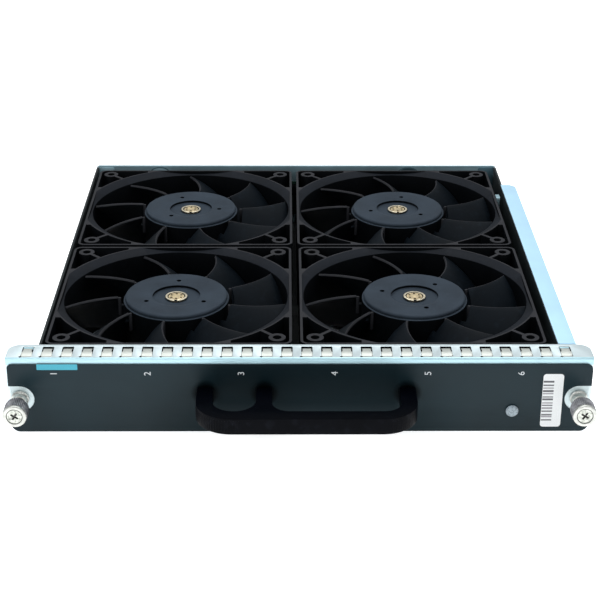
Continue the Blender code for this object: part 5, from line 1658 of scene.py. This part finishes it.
class TRAY_OT_stage(bpy.types.Operator):
    """Set the floor, the lights and the camera"""

    bl_idname = "tray.stage"
    bl_label = "Stage"

    def execute(self, context):
        model_stage(context.scene.stage_sizes)
        return {"FINISHED"}


class TRAY_OT_tray_pan(bpy.types.Operator):
    """Model the folded pan, its guide flange, corner tabs and the dark cups that stand for the shade behind
    the rear ports
    """

    bl_idname = "tray.tray_pan"
    bl_label = "Tray pan"

    def execute(self, context):
        scene = context.scene
        fit(model_tray_pan(scene.sheet_sizes, scene.fan_sizes), "tray", "zinc", "tray_pan")
        guide = paint(model_guide_flange(scene.sheet_sizes), "guide_blue")
        fit(guide, "tray", "zinc", "tray_pan")
        fit(model_corner_tabs(scene.sheet_sizes), "tray", "zinc")
        for side in SIDES:
            fit(model_dark_port_cup(side, scene.sheet_sizes), "tray", "black_gloss")
        return {"FINISHED"}


class TRAY_OT_front_panel(bpy.types.Operator):
    """Model the folded front panel with its windows"""

    bl_idname = "tray.front_panel"
    bl_label = "Front panel"

    def execute(self, context):
        scene = context.scene
        fit(model_front_panel(scene.sheet_sizes, scene.finger_sizes), "tray", "zinc", "front_panel")
        return {"FINISHED"}


class TRAY_OT_finger_strip(bpy.types.Operator):
    """Model the comb of spring fingers"""

    bl_idname = "tray.finger_strip"
    bl_label = "Spring fingers"

    def execute(self, context):
        scene = context.scene
        fit(model_finger_strip(scene.sheet_sizes, scene.finger_sizes), "tray", "spring_steel", "finger_strip")
        return {"FINISHED"}


class TRAY_OT_face(bpy.types.Operator):
    """Model the slate face plate, its numbers, labels and status light"""

    bl_idname = "tray.face"
    bl_label = "Face"

    def execute(self, context):
        sizes = context.scene.face_sizes
        plate = model_face_plate(sizes, context.scene.sheet_sizes.lens_hole)
        fit(paint(plate, "slate"), "tray", "slate_face", "face_overlay")
        fit(model_face_marks(sizes), "tray", "slate_face")
        fit(paint(model_status_light(), "lens_grey"), "tray", "lens_grey", "status_lens", degrees=12)
        return {"FINISHED"}


class TRAY_OT_handle(bpy.types.Operator):
    """Model the moulded pull"""

    bl_idname = "tray.handle"
    bl_label = "Handle"

    def execute(self, context):
        fit(model_handle(context.scene.handle_sizes), "tray", "black_gloss", "handle")
        return {"FINISHED"}


class TRAY_OT_thumbscrews(bpy.types.Operator):
    """Model the captive thumbscrews with their ferrules and clips"""

    bl_idname = "tray.thumbscrews"
    bl_label = "Thumbscrews"

    def execute(self, context):
        sizes = context.scene.screw_sizes
        for side in SIDES:
            fit(model_thumbscrew(side, sizes), f"screw_{side}", "nickel", f"thumbscrew_{side}")
            fit(paint(model_ferrule(side), "nickel"), "tray", "nickel", f"ferrule_{side}")
            fit(paint(model_clip(side), "steel"), f"clip_{side}", "steel", f"retaining_clip_{side}")
        return {"FINISHED"}


class TRAY_OT_fan_frames(bpy.types.Operator):
    """Model one fan frame and copy it to the four fans"""

    bl_idname = "tray.fan_frames"
    bl_label = "Fan frames"

    def execute(self, context):
        pattern = model_fan_frame(context.scene.fan_sizes)
        for fan in ROTOR_TURNS:
            copy = copied(pattern, f"{fan}_frame_skin", fan_place(fan))
            fit(copy, "tray", "fan_black", f"{fan}_frame")
        discard(pattern)
        return {"FINISHED"}


class TRAY_OT_impellers(bpy.types.Operator):
    """Model one impeller and its bush, and copy them to the four rotors"""

    bl_idname = "tray.impellers"
    bl_label = "Impellers"

    def execute(self, context):
        wheel = model_impeller(context.scene.impeller_sizes)
        bush = model_brass_bush()
        for fan, turn in ROTOR_TURNS.items():
            copy = copied(wheel, f"{fan}_impeller_skin", fan_place(fan), math.radians(turn))
            fit(copy, f"rotor_{fan}", "fan_black", f"{fan}_impeller")
            copy = copied(bush, f"{fan}_bush_skin", fan_place(fan))
            fit(copy, f"rotor_{fan}", "brass", f"{fan}_brass_insert")
        discard(wheel, bush)
        return {"FINISHED"}


class TRAY_OT_fan_screws(bpy.types.Operator):
    """Model one countersunk screw and copy it to the sixteen places"""

    bl_idname = "tray.fan_screws"
    bl_label = "Fan screws"

    def execute(self, context):
        pattern = paint(model_fan_screw(context.scene.screw_sizes), "steel")
        for fan in ROTOR_TURNS:
            for count in range(1, 5):
                node = f"{fan}_screw_{count}"
                middle = middle_of(node)
                copy = copied(pattern, f"{node}_skin", (middle.x, middle.y, 0))
                fit(copy, "tray", "steel", node)
        discard(pattern)
        return {"FINISHED"}


class TRAY_OT_electrics(bpy.types.Operator):
    """Model the control board and the rear connector"""

    bl_idname = "tray.electrics"
    bl_label = "Rear electrics"

    def execute(self, context):
        fit(model_control_board(), "tray", "board", "control_board")
        fit(model_connector(), "tray", "black_gloss", "rear_connector")
        return {"FINISHED"}


class TRAY_OT_motor_finishes(bpy.types.Operator):
    """Give the parts inside the motors and the handle's screws their finishes"""

    bl_idname = "tray.motor_finishes"
    bl_label = "Motor finishes"

    def execute(self, context):
        inside = {"bearing": "steel", "stator": "lamination", "shaft": "steel", "magnet_ring": "magnet"}
        for fan in ROTOR_TURNS:
            for part, material in inside.items():
                paint(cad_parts[f"{fan}_{part}"], material)
        for side in SIDES:
            paint(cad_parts[f"handle_screw_{side}"], "steel")
        return {"FINISHED"}


OPERATORS = (
    TRAY_OT_stage,
    TRAY_OT_tray_pan,
    TRAY_OT_front_panel,
    TRAY_OT_finger_strip,
    TRAY_OT_face,
    TRAY_OT_handle,
    TRAY_OT_thumbscrews,
    TRAY_OT_fan_frames,
    TRAY_OT_impellers,
    TRAY_OT_fan_screws,
    TRAY_OT_electrics,
    TRAY_OT_motor_finishes,
)


class TRAY_PT_pieces(bpy.types.Panel):
    """The tray's pieces, one button each"""

    bl_idname = "TRAY_PT_pieces"
    bl_label = "Fan tray"
    bl_space_type = "VIEW_3D"
    bl_region_type = "UI"
    bl_category = "Fan Tray"

    def draw(self, context):
        for operator in OPERATORS:
            self.layout.operator(operator.bl_idname)


def register():
    """Add the sizes, the operators and the panel."""
    for name, group in GROUPS.items():
        bpy.utils.register_class(group)
        setattr(bpy.types.Scene, name, bpy.props.PointerProperty(type=group))
    for kind in (*OPERATORS, TRAY_PT_pieces):
        bpy.utils.register_class(kind)


def unregister():
    """Take them out again."""
    for kind in reversed((*OPERATORS, TRAY_PT_pieces)):
        bpy.utils.unregister_class(kind)
    for name, group in reversed(GROUPS.items()):
        delattr(bpy.types.Scene, name)
        bpy.utils.unregister_class(group)


def main():
    """Model every piece in order."""
    register()
    for operator in OPERATORS:
        group, name = operator.bl_idname.split(".")
        getattr(getattr(bpy.ops, group), name)()
    let_go()


if __name__ == "__main__":
    main()
